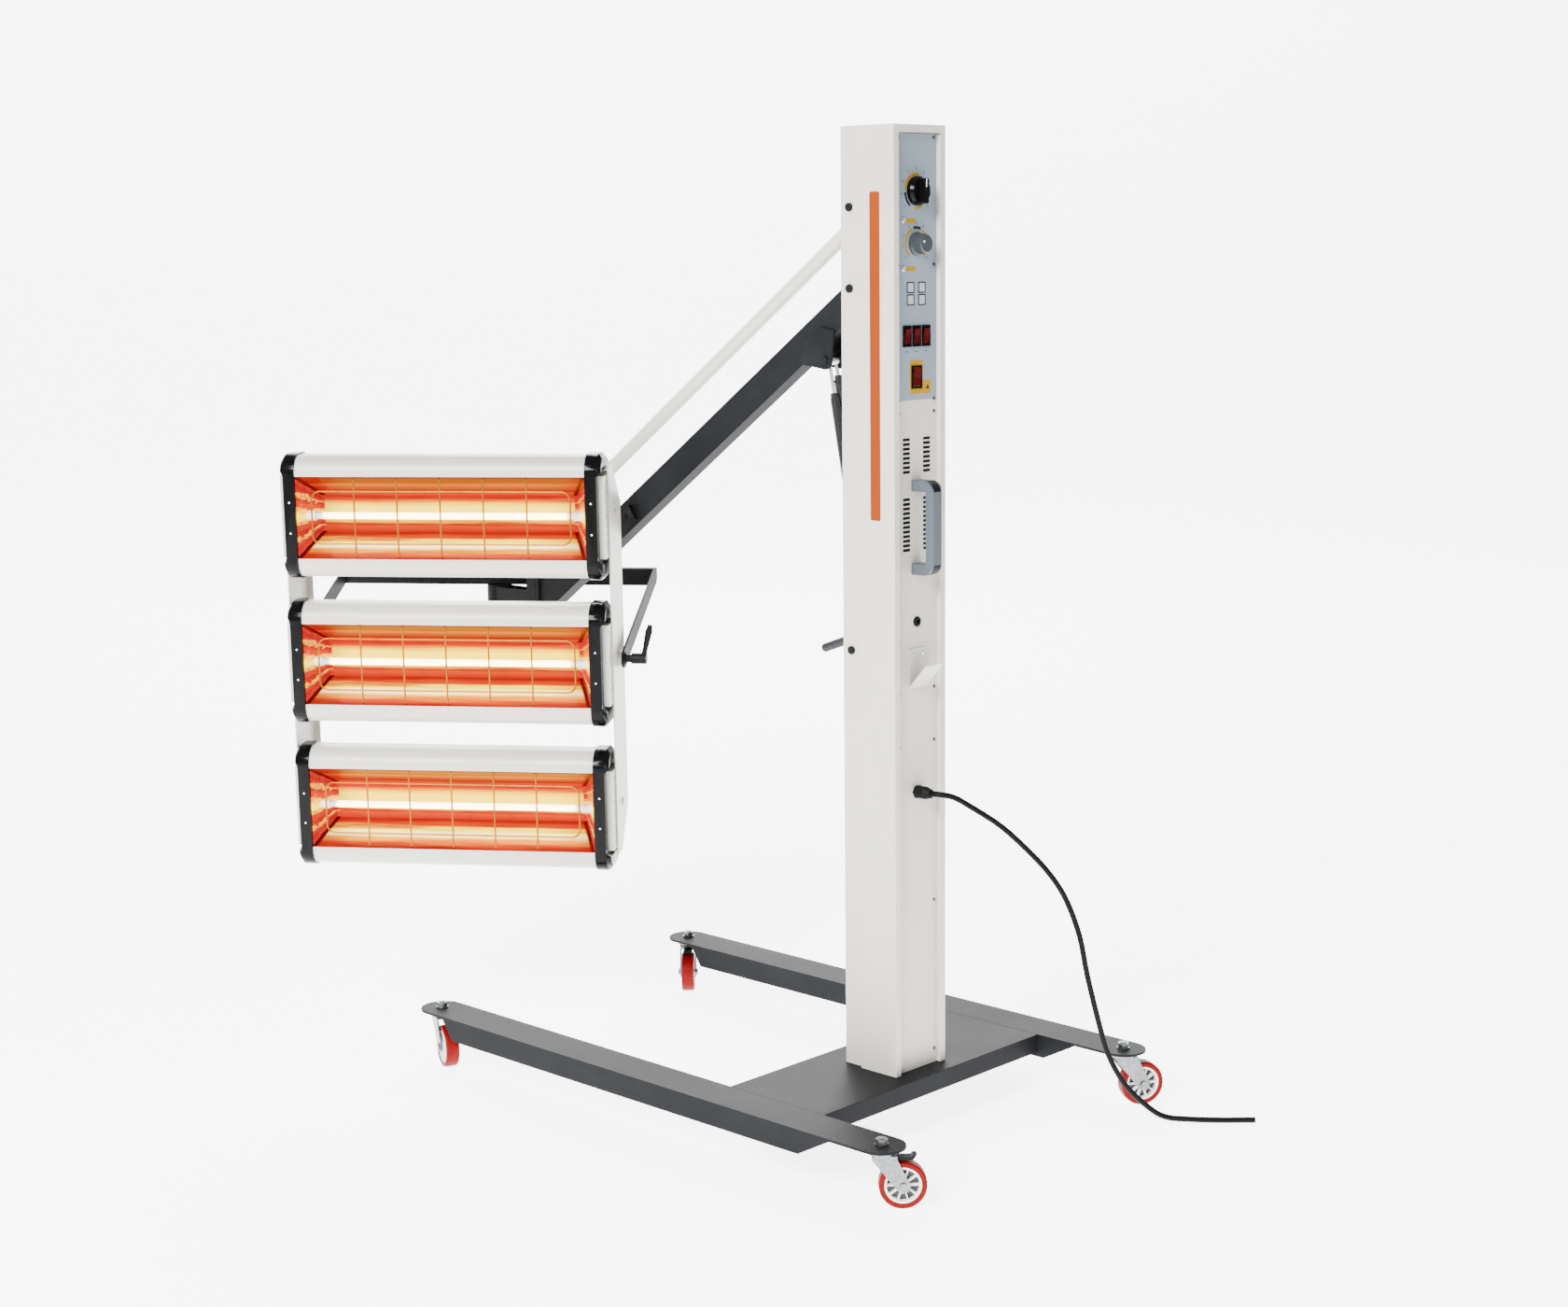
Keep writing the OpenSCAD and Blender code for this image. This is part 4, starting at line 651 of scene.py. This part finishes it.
# The cord's route, in metres, as the part's source gives it
CORD_POINTS = [
    (0.064, -0.550, 0.571), (0.066, -0.566, 0.572), (0.082, -0.582, 0.567), (0.106, -0.597, 0.550),
    (0.146, -0.631, 0.514), (0.184, -0.665, 0.465), (0.208, -0.688, 0.426), (0.227, -0.704, 0.384),
    (0.243, -0.718, 0.325), (0.253, -0.727, 0.258), (0.268, -0.741, 0.174), (0.281, -0.752, 0.118),
    (0.302, -0.772, 0.066), (0.331, -0.797, 0.027), (0.352, -0.818, 0.009), (0.376, -0.850, 0.006),
    (0.408, -0.888, 0.005), (0.430, -0.912, 0.005), (0.448, -0.932, 0.005),
]


def smooth_route(points, steps):
    """The same curve through the points as the part's source draws."""
    route = []
    last = len(points) - 1
    for i in range(last):
        a, b = Vector(points[max(i - 1, 0)]), Vector(points[i])
        c, d = Vector(points[i + 1]), Vector(points[min(i + 2, last)])
        for s in range(steps):
            t = s / steps
            route.append(0.5 * (2 * b + (c - a) * t + (2 * a - 5 * b + 4 * c - d) * t * t
                                + (3 * b - a - 3 * c + d) * t * t * t))
    return route + [Vector(points[last])]


# The photograph's camera: lens in pixels of its width, directions, and place from the mast's middle
PHOTO_WIDTH, FOCAL_LENGTH, SENSOR = 1680, 2719, 36.0
HEADING, PITCH, ROLL = math.radians(46.51), math.radians(9.36), math.radians(-0.59)
CAMERA_X, CAMERA_Y, CAMERA_Z = -3.0941, -2.6894, 1.4711
MAST_MIDDLE = 0.059  # from the cover's face back to the mast's middle


class LAMP_OT_camera(bpy.types.Operator):
    """Sets the camera where the photograph was taken"""

    bl_idname = "lamp.camera"
    bl_label = "Camera"

    def execute(self, context):
        data = bpy.data.cameras.new("camera")
        camera = bpy.data.objects.new("camera", data)
        context.scene.collection.objects.link(camera)
        data.sensor_width = SENSOR
        data.lens = FOCAL_LENGTH / PHOTO_WIDTH * SENSOR
        data.clip_end = 60.0
        level = math.cos(PITCH)
        look = Vector((math.sin(HEADING) * level, math.cos(HEADING) * level, -math.sin(PITCH)))
        turn = look.to_track_quat("-Z", "Y").to_matrix().to_4x4()
        mast_y = COVER[0].y + MAST_MIDDLE
        place = Vector((CAMERA_X + MAST_X, CAMERA_Y + mast_y, CAMERA_Z))
        camera.matrix_world = Matrix.Translation(place) @ turn @ Matrix.Rotation(ROLL, 4, "Z")
        context.scene.camera = camera
        return {"FINISHED"}


class LAMP_OT_cord(bpy.types.Operator):
    """Lays the power cord from the gland down to the floor"""

    bl_idname = "lamp.cord"
    bl_label = "Power cord"

    def execute(self, context):
        diameter = context.scene.lamp_sizes.cord_diameter
        route = smooth_route(CORD_POINTS, 4)
        length = sum((b - a).length for a, b in zip(route, route[1:]))
        curve = bpy.data.curves.new("power_cord_line", "CURVE")
        curve.dimensions = "3D"
        curve.bevel_depth = diameter / 2
        curve.bevel_resolution = 5
        curve.use_fill_caps = True
        spline = curve.splines.new("POLY")
        spline.points.add(len(route) - 1)
        for point, place in zip(spline.points, route):
            point.co = (*place, 1.0)
        spline.use_smooth = True
        obj = bpy.data.objects.new("power_cord_line", curve)
        context.scene.collection.objects.link(obj)
        curve.materials.append(finish_of("cord"))
        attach(obj, "stand")
        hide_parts("power_cord")
        return {"FINISHED"}


# The studio: half the floor's length and width, where its back curves up, and how far it rises
REACH, BACK, RISE, BEND = 14.0, 9.0, 12.0, 3.0
WALL_RADIUS, WALL_LOW, WALL_HIGH = 13.5, -0.5, 30.0
FLOOR_GLOW, NEAR_GLOW, SKY = 5.0, 0.16, 0.6
# The floor's own light fades out behind the camera, and beside what the camera sees
FADE_START, FADE_END = -2.8, -0.95
VIEW_SLOPE, SIDE_START, SIDE_END = 0.32, 1.5, 2.7
LAMP_MIDDLE = Vector((0, 0, 0.8))
# Each soft light: its name, place, size and power
LIGHTS = (
    ("key", (-4.8, -1.6, 3.8), 2.0, 980.0), ("fill", (0.6, -5.4, 3.0), 2.4, 40.0),
    ("rim", (3.6, 3.4, 4.0), 2.6, 240.0),
)


class LAMP_OT_stage(bpy.types.Operator):
    """Makes the pale floor, the soft studio light and the backdrop"""

    bl_idname = "lamp.stage"
    bl_label = "Stage"

    def execute(self, context):
        turn = Matrix.Rotation(math.radians(-46.5), 4, "Z")
        finish = Finish("studio_paper")
        grain = finish.noise(3.0, 2.0)
        across, along, above = finish.axes(finish.turned(turn))
        beside = (across - VIEW_SLOPE * along).step(SIDE_START, SIDE_END)
        seen = along.step(FADE_START, FADE_END) * (1 - beside)
        glow = finish.mix(seen, (NEAR_GLOW, NEAR_GLOW, NEAR_GLOW, 1), (1, 1, 1, 1))
        paper = finish.done(
            base_color=finish.mix(grain, (0.93, 0.93, 0.93, 1), (0.95, 0.95, 0.95, 1)), roughness=0.9,
            specular_ior_level=0.1, emission_color=glow, emission_strength=FLOOR_GLOW)

        shape = bmesh.new()
        bends = [math.radians(angle) for angle in range(9, 91, 9)]
        profile = [(-REACH, 0.0), (BACK - BEND, 0.0)]
        profile += [(BACK - BEND + BEND * math.sin(a), BEND - BEND * math.cos(a)) for a in bends]
        profile += [(BACK, RISE)]
        rows = [[shape.verts.new(turn @ Vector((x, y, z))) for y, z in profile] for x in (-REACH, REACH)]
        for k in range(len(profile) - 1):
            shape.faces.new((rows[0][k], rows[1][k], rows[1][k + 1], rows[0][k + 1]))
        floor = mesh_object("studio_floor", shape, paper)
        floor.data.shade_smooth()

        # A round wall closes the room for views from behind; it neither lights nor shades the lamp
        shape = bmesh.new()
        around = [math.radians(angle) for angle in range(0, 360, 4)]
        low, high = [[shape.verts.new((WALL_RADIUS * math.cos(a), WALL_RADIUS * math.sin(a), z))
                      for a in around] for z in (WALL_LOW, WALL_HIGH)]
        for k in range(len(around)):
            shape.faces.new((low[k - 1], high[k - 1], high[k], low[k]))
        wall = mesh_object("studio_wall", shape, paper)
        wall.data.shade_smooth()
        wall.visible_diffuse = wall.visible_glossy = wall.visible_transmission = False
        wall.visible_volume_scatter = wall.visible_shadow = False

        world = bpy.data.worlds.new("studio")
        context.scene.world = world
        world.use_nodes = True
        world.node_tree.nodes["Background"].inputs[0].default_value = (1.0, 1.0, 1.0, 1)
        world.node_tree.nodes["Background"].inputs[1].default_value = SKY
        for name, place, size, power in LIGHTS:
            lamp = bpy.data.lights.new(name, "AREA")
            lamp.size = size
            lamp.energy = power
            obj = bpy.data.objects.new(name, lamp)
            context.scene.collection.objects.link(obj)
            obj.location = place
            obj.rotation_euler = (LAMP_MIDDLE - Vector(place)).to_track_quat("-Z", "Y").to_euler()
        return {"FINISHED"}


class LAMP_OT_finishes(bpy.types.Operator):
    """Gives every solid of the frame its finish"""

    bl_idname = "lamp.finishes"
    bl_label = "Finishes"

    def execute(self, context):
        by_slot = {
            "graphite": "graphite", "cream": "cream", "panel_grey": "panel", "zinc": "zinc",
            "black_plastic": "gloss_black", "matte_black": "matt_black", "grey_plastic": "handle",
            "red_plastic": "red", "rubber": "peg", "cable": "cord", "housing": "cream", "wire": "wire",
            "tyre": "tyre", "rod": "steel", "strut_black": "strut", "switchgear": "beige",
            "bolt_black": "matt_black",
        }
        slots = {row["node"]: row["material_slot"] for row in frame["record"]["subparts"]}
        for node, obj in NODES.items():
            kind = slots[node]
            if kind == "mirror":
                dress(obj, mirror_painted_reflection(node.split("_")[0]))
            elif kind == "quartz":
                dress(obj, tube_glow(node.split("_")[0]))
            else:
                dress(obj, finish_of(by_slot[kind]))
            rounded_look(obj.data)
        dress(NODES["timer_knob"], finish_of("knob_grey"))
        dress(NODES["panel_screws"], finish_of("dark_screw"))
        return {"FINISHED"}


class LAMP_OT_sheet_metal(bpy.types.Operator):
    """Rounds the folded edges of the stand, the arm and the yoke"""

    bl_idname = "lamp.sheet_metal"
    bl_label = "Sheet metal"

    def execute(self, context):
        edge = context.scene.lamp_sizes.edge_round
        for node in ("left_leg", "right_leg", "cross_plate", "main_beam", "arm_knuckle", "yoke_frame"):
            softened(node, edge * 1.2, finish_of("graphite"))
        for node in ("rear_cover", "mast_channel", "hook_bracket", "head_straps"):
            softened(node, edge, finish_of("cream"))
        for level in LEVELS:
            softened(level + "_end_caps", edge * 2.2, finish_of("gloss_black"), 3)
        softened("pull_handle", edge * 3, finish_of("handle"), 3)
        softened("rotary_knob", edge, finish_of("gloss_black"))
        softened("clamp_lever", edge, finish_of("matt_black"))
        return {"FINISHED"}


# A caster's hub: its rim, its waisted boss with the bore, the web and the ribs; the web is dark grey, painted
# shade in the openings between the ribs
RIM_WALL, RIM_DISH = 0.0035, 0.0006
BOSS, BOSS_WAIST, BORE = 0.0088, 0.0096, 0.0041
WEB_HALF, RIB_ROOT, RIB_HALF, RIB_START, RIBS = 0.0012, 0.0086, 0.0009, 0.001, 10
# Shares of half the tyre's width
CROWN_SHARE, BEAD_SHARE, RIM_SHARE, RIB_SHARE = 0.28, 0.94, 0.86, 0.76
TURNED = 56  # steps in a wheel's circle


class LAMP_OT_wheels(bpy.types.Operator):
    """Makes each caster's red tyre and its ribbed white hub"""

    bl_idname = "lamp.wheels"
    bl_label = "Wheels"

    def execute(self, context):
        sizes = context.scene.lamp_sizes
        outer, inner, half = sizes.tyre_radius, sizes.hub_radius, sizes.tyre_width / 2
        crown, bead, edge = half * CROWN_SHARE, half * BEAD_SHARE, half * RIM_SHARE
        rim, reach = inner - RIM_WALL, half * RIB_SHARE
        tread = [(outer - crown + crown * math.cos(math.radians(a)),
                  half - crown + crown * math.sin(math.radians(a))) for a in range(0, 91, 15)]
        tyre_line = [(inner, bead), (inner, -bead)] + [(r, -h) for r, h in reversed(tread)] + tread
        rim_line = [(inner, edge), (rim, edge), (rim - RIM_DISH, 0.0), (rim, -edge), (inner, -edge)]
        boss_line = [(BOSS, half), (BORE, half), (BORE, -half), (BOSS, -half), (BOSS_WAIST, 0.0)]
        web_line = [(BOSS, WEB_HALF), (BOSS, -WEB_HALF), (rim, -WEB_HALF), (rim, WEB_HALF)]
        rib_line = [(RIB_ROOT, -RIB_HALF), (rim + RIM_DISH, -RIB_HALF), (rim + RIM_DISH, RIB_HALF),
                    (RIB_ROOT, RIB_HALF)]
        for corner in CORNERS:
            place = wheel_matrix(corner)
            body = corner + "_roll"
            tyre = new_piece(corner + "_tyre", lathe(bmesh.new(), tyre_line, TURNED, place),
                             finish_of("tyre"), body)
            shape = lathe(lathe(bmesh.new(), rim_line, TURNED, place), boss_line, TURNED, place)
            # The web is dark grey: painted shade between the ribs
            web = new_piece(corner + "_web", lathe(bmesh.new(), web_line, TURNED, place),
                            finish_of("hub_web"), body)
            for rib in range(RIBS):
                turn = Matrix.Rotation(2 * math.pi * rib / RIBS, 4, "Z")
                for start in (-reach, RIB_START):
                    lift = Matrix.Translation((0, 0, start))
                    prism(shape, rib_line, reach - RIB_START, place @ turn @ lift)
            hub = new_piece(corner + "_hub", shape, finish_of("nylon"), body)
            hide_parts(corner + "_wheel")
            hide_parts(corner + "_wheel")
            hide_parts(corner + "_wheel")
        return {"FINISHED"}


# The end caps' screws: how far out past the housing, and each one's height, depth and lean
SCREW_OUT = 0.0105
CAP_SCREWS = ((-0.0865, 0.0035, 28), (-0.027, -0.003, 0), (0.027, -0.003, 0), (0.0865, 0.0035, -28))
CAP_SCREW_LINE = [(0.0, 0.001), (0.0012, 0.0008), (0.0018, 0.0003), (0.002, 0.0), (0.002, -0.0008),
                  (0.0, -0.0008)]


class LAMP_OT_cap_screws(bpy.types.Operator):
    """Sets the bright screws in the cassettes' end caps"""

    bl_idname = "lamp.cap_screws"
    bl_label = "Cap screws"

    def execute(self, context):
        out = context.scene.lamp_sizes.cassette_half + SCREW_OUT
        for level, step in LEVELS.items():
            shape = bmesh.new()
            for side in (-1, 1):
                for height, depth, lean in CAP_SCREWS:
                    spot = Matrix.Translation((side * out, depth, height)) @ UPRIGHT
                    spot = spot @ Matrix.Rotation(math.radians(lean), 4, "X")
                    lathe(shape, CAP_SCREW_LINE, 14, cassette_matrix(step) @ spot)
            new_piece(level + "_cap_screws", shape, finish_of("steel"), CASSETTE_BODIES[level])
        return {"FINISHED"}


# Arcs printed round the knobs: finish, inner and outer radius, first and last angle
ROTARY_ARCS = (
    ("amber", 0.0238, 0.0285, 78, 176), ("amber", 0.0245, 0.0285, 262, 300),
    ("ink", 0.0245, 0.0285, 184, 238),
)
TIMER_ARCS = (
    ("amber", 0.0235, 0.0275, 112, 228), ("amber", 0.0235, 0.0275, -48, 52), ("ink", 0.0235, 0.0275, 66, 104),
)
ROTARY_TICKS, TIMER_TICKS = 0.0335, 0.0305
TICK_LENGTH, TICK_HALF, TICKS, FIRST_TICK, TICK_STEP = 0.0035, 0.0005, 9, -40, 32.5
# Plain squares in place of pictograms, plain bars in place of words
SQUARE_COLUMNS, SQUARE_ROWS = (-0.0138, 0.0138), (1.3872, 1.3678)
SQUARE_FRAME, SQUARE_FIELD = (0.0182, 0.0176, 0.001), (0.0133, 0.0138, 0.0008)
BAR, BAR_X, BAR_BELOW_TOP, BAR_BELOW_TIMER = (0.022, 0.0075, 0.001), -0.0135, 0.0045, 0.0389
DASH, DASH_PITCH, DASH_DROP = (0.005, 0.0012, 0.0003), 0.023, 0.0245
# The yellow plate round the main switch, its ear, and the plain triangle on the ear
PLATE, EAR, EAR_X, EAR_DROP = (0.031, 0.0535, 0.002), (0.02, 0.021, 0.002), 0.0255, 0.0165
TRIANGLE, TRIANGLE_X = [(0.0, 0.0045), (-0.004, -0.003), (0.004, -0.003)], 0.0275


class LAMP_OT_panel_marks(bpy.types.Operator):
    """Prints the dials' arcs and ticks, the plain squares and the switch plate"""

    bl_idname = "lamp.panel_marks"
    bl_label = "Panel marks"

    def execute(self, context):
        rotary, timer = JOINTS["rotary_turn"]["pos_m"][2], JOINTS["timer_turn"]["pos_m"][2]
        rockers, main_switch = JOINTS["rocker_2_press"]["pos_m"][2], JOINTS["rocker_main_press"]["pos_m"][2]
        marks = {name: bmesh.new() for name in ("amber", "ink", "yellow", "lens")}
        for centre, arcs, ticks in ((rotary, ROTARY_ARCS, ROTARY_TICKS), (timer, TIMER_ARCS, TIMER_TICKS)):
            for name, inner, outer, start, end in arcs:
                prism(marks[name], arc_band(inner, outer, start, end), SHEET, on_panel(0, centre))
            line = [(ticks, -TICK_HALF), (ticks + TICK_LENGTH, -TICK_HALF), (ticks + TICK_LENGTH, TICK_HALF),
                    (ticks, TICK_HALF)]
            for tick in range(TICKS):
                turn = Matrix.Rotation(math.radians(FIRST_TICK + tick * TICK_STEP), 4, "Z")
                prism(marks["ink"], line, SHEET, on_panel(0, centre) @ turn)
        for z in (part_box("panel_fittings")[1].z - BAR_BELOW_TOP, timer - BAR_BELOW_TIMER):
            prism(marks["amber"], rounded(*BAR), SHEET, on_panel(BAR_X, z))
        for column in SQUARE_COLUMNS:
            for row in SQUARE_ROWS:
                prism(marks["ink"], rounded(*SQUARE_FRAME), SHEET, on_panel(column, row))
                prism(marks["lens"], rounded(*SQUARE_FIELD), SHEET * 1.6, on_panel(column, row))
        for step in (-1, 0, 1):
            prism(marks["ink"], rounded(*DASH), SHEET, on_panel(step * DASH_PITCH, rockers - DASH_DROP))
        prism(marks["yellow"], rounded(*PLATE), SHEET, on_panel(0, main_switch))
        prism(marks["yellow"], rounded(*EAR), SHEET * 0.9, on_panel(EAR_X, main_switch - EAR_DROP))
        prism(marks["ink"], TRIANGLE, SHEET * 1.5, on_panel(TRIANGLE_X, main_switch - EAR_DROP))
        for name, shape in marks.items():
            new_piece("panel_marks_" + name, shape, finish_of(name), "stand", smooth=False)
        return {"FINISHED"}


# The folded lip over the control panel; a black sheet behind the vents and black plates over the vents'
# slots, both painted shade of the mast's dark inside
LIP_HALF, LIP_BELOW_TOP, LIP_DROP, LIP_SHEET, LIP_DEPTH = 0.0505, 0.0012, 0.013, 0.0014, 0.0076
BACK_SHADE_HALF, BACK_SHADE_LOW, BACK_SHADE_HIGH, BACK_SHADE_SHEET, BACK_SHADE_GAP = 0.041, 0.93, 1.185, 0.0006, 0.0003
SLOT, SLOT_DEPTH, SLOT_LIFT = (0.0172, 0.0047, 0.0004, 1), 0.0013, 0.0001
SEAM_HALF, SEAM_SHIFT = 0.0005, 0.0006  # the shade where the cover meets the channel
# Outlines of radius and height
RING_LINE = [(0.0034, 0.0), (0.0047, 0.0), (0.0047, 0.0014), (0.0038, 0.002), (0.0034, 0.0018)]
LENS_LINE = [(0.0, 0.0003), (0.0034, 0.0003), (0.0034, 0.0014), (0.0022, 0.0021), (0.0, 0.0023)]
HOOK_SCREW_LINE = [(0.0, 0.0045), (0.0018, 0.0042), (0.0032, 0.0033), (0.0036, 0.0022), (0.0036, 0.0),
                   (0.0, 0.0)]
HOOK_SCREW_IN, HOOK_SCREW_DOWN = 0.0095, 0.009


class LAMP_OT_mast_details(bpy.types.Operator):
    """Adds the mast's top lip, painted shadow lines at its seams, a black sheet and black slot plates as
    painted shade in the vents, the pilots and the hook's screws
    """

    bl_idname = "lamp.mast_details"
    bl_label = "Mast details"

    def execute(self, context):
        lip = bmesh.new()
        low_face = Matrix.Translation((MAST_X, COVER[0].y, COVER[1].z - LIP_BELOW_TOP - LIP_DROP)) @ UPRIGHT
        plate(lip, LIP_HALF, 0, LIP_DROP, -LIP_SHEET, low_face)
        plate(lip, LIP_HALF, 0, LIP_SHEET, -LIP_DEPTH, low_face)
        new_piece("mast_top_lip", outward(lip), finish_of("cream"), "stand", smooth=False)
        # Painted shadow lines along the edges where the rear cover meets the channel
        seam_shadows = bmesh.new()
        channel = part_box("mast_channel")
        for x, face in ((channel[0].x, -90), (channel[1].x, 90)):
            along = Matrix.Translation((x, COVER[1].y + SEAM_SHIFT, 0)) @ Euler(
                (math.radians(90), 0, math.radians(face))).to_matrix().to_4x4()
            plate(seam_shadows, SEAM_HALF, COVER[0].z, COVER[1].z - LIP_BELOW_TOP, SHEET, along)
        new_piece("mast_seams", seam_shadows, finish_of("seam"), "stand", smooth=False)
        # A black sheet behind the vents, painted shade of the mast's dark inside
        back = Matrix.Translation((MAST_X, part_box("control_panel")[1].y + BACK_SHADE_GAP, 0)) @ UPRIGHT
        back_shade = plate(bmesh.new(), BACK_SHADE_HALF, BACK_SHADE_LOW, BACK_SHADE_HIGH, -BACK_SHADE_SHEET, back)
        new_piece("vent_gauze", outward(back_shade), finish_of("matt_black"), "stand", smooth=False)
        # Black plates over the vent slots, painted shade in the openings
        slot_shades = bmesh.new()
        for top, slots in zip(VENT_TOPS, VENT_SLOTS):
            for side in (-1, 1):
                for slot in range(slots):
                    prism(slot_shades, rounded(*SLOT), -SLOT_DEPTH,
                          on_panel(side * VENT_X, top - slot * VENT_PITCH, SLOT_LIFT))
        new_piece("vent_mesh", outward(slot_shades), finish_of("vent_shade"), "stand", smooth=False)
        rings, lenses = bmesh.new(), bmesh.new()
        for z in PILOT_HEIGHTS:
            lathe(rings, RING_LINE, 24, on_panel(PILOT_X, z))
            lathe(lenses, LENS_LINE, 24, on_panel(PILOT_X, z), closed=False)
        hook_low, hook_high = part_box("hook_bracket")
        hook_screws = bmesh.new()
        for x in (hook_low.x + HOOK_SCREW_IN, hook_high.x - HOOK_SCREW_IN):
            lathe(hook_screws, HOOK_SCREW_LINE, 18, on_panel(x - MAST_X, hook_high.z - HOOK_SCREW_DOWN))
        new_piece("hook_screws", hook_screws, finish_of("steel"), "stand")
        new_piece("pilot_rings", rings, finish_of("steel"), "stand")
        new_piece("pilot_lenses", lenses, finish_of("lens"), "stand")
        return {"FINISHED"}


STRIPE, STRIPE_BACK, STRIPE_MIDDLE = (0.021, 0.518, 0.003), 0.04, 1.278


class LAMP_OT_stripe(bpy.types.Operator):
    """Puts the plain orange stripe on the mast's side"""

    bl_idname = "lamp.stripe"
    bl_label = "Mast stripe"

    def execute(self, context):
        on_side = Matrix.Translation((COVER[0].x, COVER[0].y + STRIPE_BACK, STRIPE_MIDDLE)) @ Euler(
            (math.radians(90), 0, math.radians(-90))).to_matrix().to_4x4()
        shape = prism(bmesh.new(), rounded(*STRIPE), SHEET, on_side)
        new_piece("mast_stripe", shape, finish_of("orange"), "stand", smooth=False)
        return {"FINISHED"}


POINTER_HALF, POINTER_START, POINTER_END = 0.0009, 0.006, 0.0185
DOT_LINE, DOT_PLACE = [(0.0, 0.0), (0.0019, 0.0), (0.0017, 0.0006), (0.0, 0.0008)], (-0.0075, 0.0035, 0)
KNURL_LINE = [(0.0147, -0.0006), (0.0158, 0.0), (0.0147, 0.0006)]
KNURLS, KNURL_DEPTH, KNURL_LIFT = 28, 0.0135, 0.0062
# The handle's bends: their radius, and the dark insert's width and its reach under and over the bend
HANDLE_BEND, INSERT_WIDTH, INSERT_UNDER, INSERT_OVER = 0.0198, 0.0165, 0.0015, 0.0003


class LAMP_OT_knob_marks(bpy.types.Operator):
    """Adds the knobs' pointer, dot and knurl, and the handle's dark inserts"""

    bl_idname = "lamp.knob_marks"
    bl_label = "Knob marks"

    def execute(self, context):
        low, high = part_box("rotary_knob")
        pointer = plate(bmesh.new(), POINTER_HALF, POINTER_START, POINTER_END, SHEET,
                        on_panel(0, (low.z + high.z) / 2, FACE - low.y))
        new_piece("rotary_pointer", pointer, finish_of("white"), "rotary", smooth=False)
        low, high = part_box("timer_knob")
        z = (low.z + high.z) / 2
        dot = lathe(bmesh.new(), DOT_LINE, 16, on_panel(0.0, z, FACE - low.y) @ Matrix.Translation(DOT_PLACE),
                    closed=False)
        new_piece("timer_dot", dot, finish_of("white"), "timer")
        shape = bmesh.new()
        for i in range(KNURLS):
            turn = Matrix.Rotation(2 * math.pi * i / KNURLS, 4, "Z")
            prism(shape, KNURL_LINE, KNURL_DEPTH, on_panel(0, z, KNURL_LIFT) @ turn)
        new_piece("timer_knurl", shape, finish_of("knob_grey"), "timer")
        low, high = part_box("pull_handle")
        shape = bmesh.new()
        band = arc_band(HANDLE_BEND - INSERT_UNDER, HANDLE_BEND + INSERT_OVER, 8, 78, 10)
        for corner, up in ((high.z - HANDLE_BEND, 1), (low.z + HANDLE_BEND, -1)):
            spot = Matrix(((1, 0, 0, MAST_X - INSERT_WIDTH / 2), (0, -1, 0, 0), (0, 0, up, corner),
                           (0, 0, 0, 1)))
            spot = spot @ Matrix(((0, 0, 1, 0), (1, 0, 0, -low.y - HANDLE_BEND), (0, 1, 0, 0), (0, 0, 0, 1)))
            prism(shape, band, INSERT_WIDTH, spot)
        new_piece("handle_inserts", outward(shape), finish_of("matt_black"), "stand")
        return {"FINISHED"}


CLASSES = (
    LampSizes, LampColours, LAMP_OT_camera, LAMP_OT_cord, LAMP_OT_stage, LAMP_OT_finishes,
    LAMP_OT_sheet_metal, LAMP_OT_wheels, LAMP_OT_cap_screws, LAMP_OT_panel_marks, LAMP_OT_mast_details,
    LAMP_OT_stripe, LAMP_OT_knob_marks,
)
STEPS = ("camera", "cord", "stage", "finishes", "sheet_metal", "wheels", "cap_screws", "panel_marks",
         "mast_details", "stripe", "knob_marks")


class LAMP_PT_panel(bpy.types.Panel):
    """Lists the lamp's steps"""

    bl_label = "Curing lamp"
    bl_idname = "LAMP_PT_panel"
    bl_space_type = "VIEW_3D"
    bl_region_type = "UI"
    bl_category = "Curing lamp"

    def draw(self, context):
        for step in STEPS:
            self.layout.operator("lamp." + step)


def register():
    for kind in CLASSES + (LAMP_PT_panel,):
        bpy.utils.register_class(kind)
    bpy.types.Scene.lamp_sizes = bpy.props.PointerProperty(type=LampSizes)
    bpy.types.Scene.lamp_colours = bpy.props.PointerProperty(type=LampColours)


def unregister():
    del bpy.types.Scene.lamp_sizes
    del bpy.types.Scene.lamp_colours
    for kind in reversed(CLASSES + (LAMP_PT_panel,)):
        bpy.utils.unregister_class(kind)


def main():
    register()
    for step in STEPS:
        getattr(bpy.ops.lamp, step)()


if __name__ == "__main__":
    main()
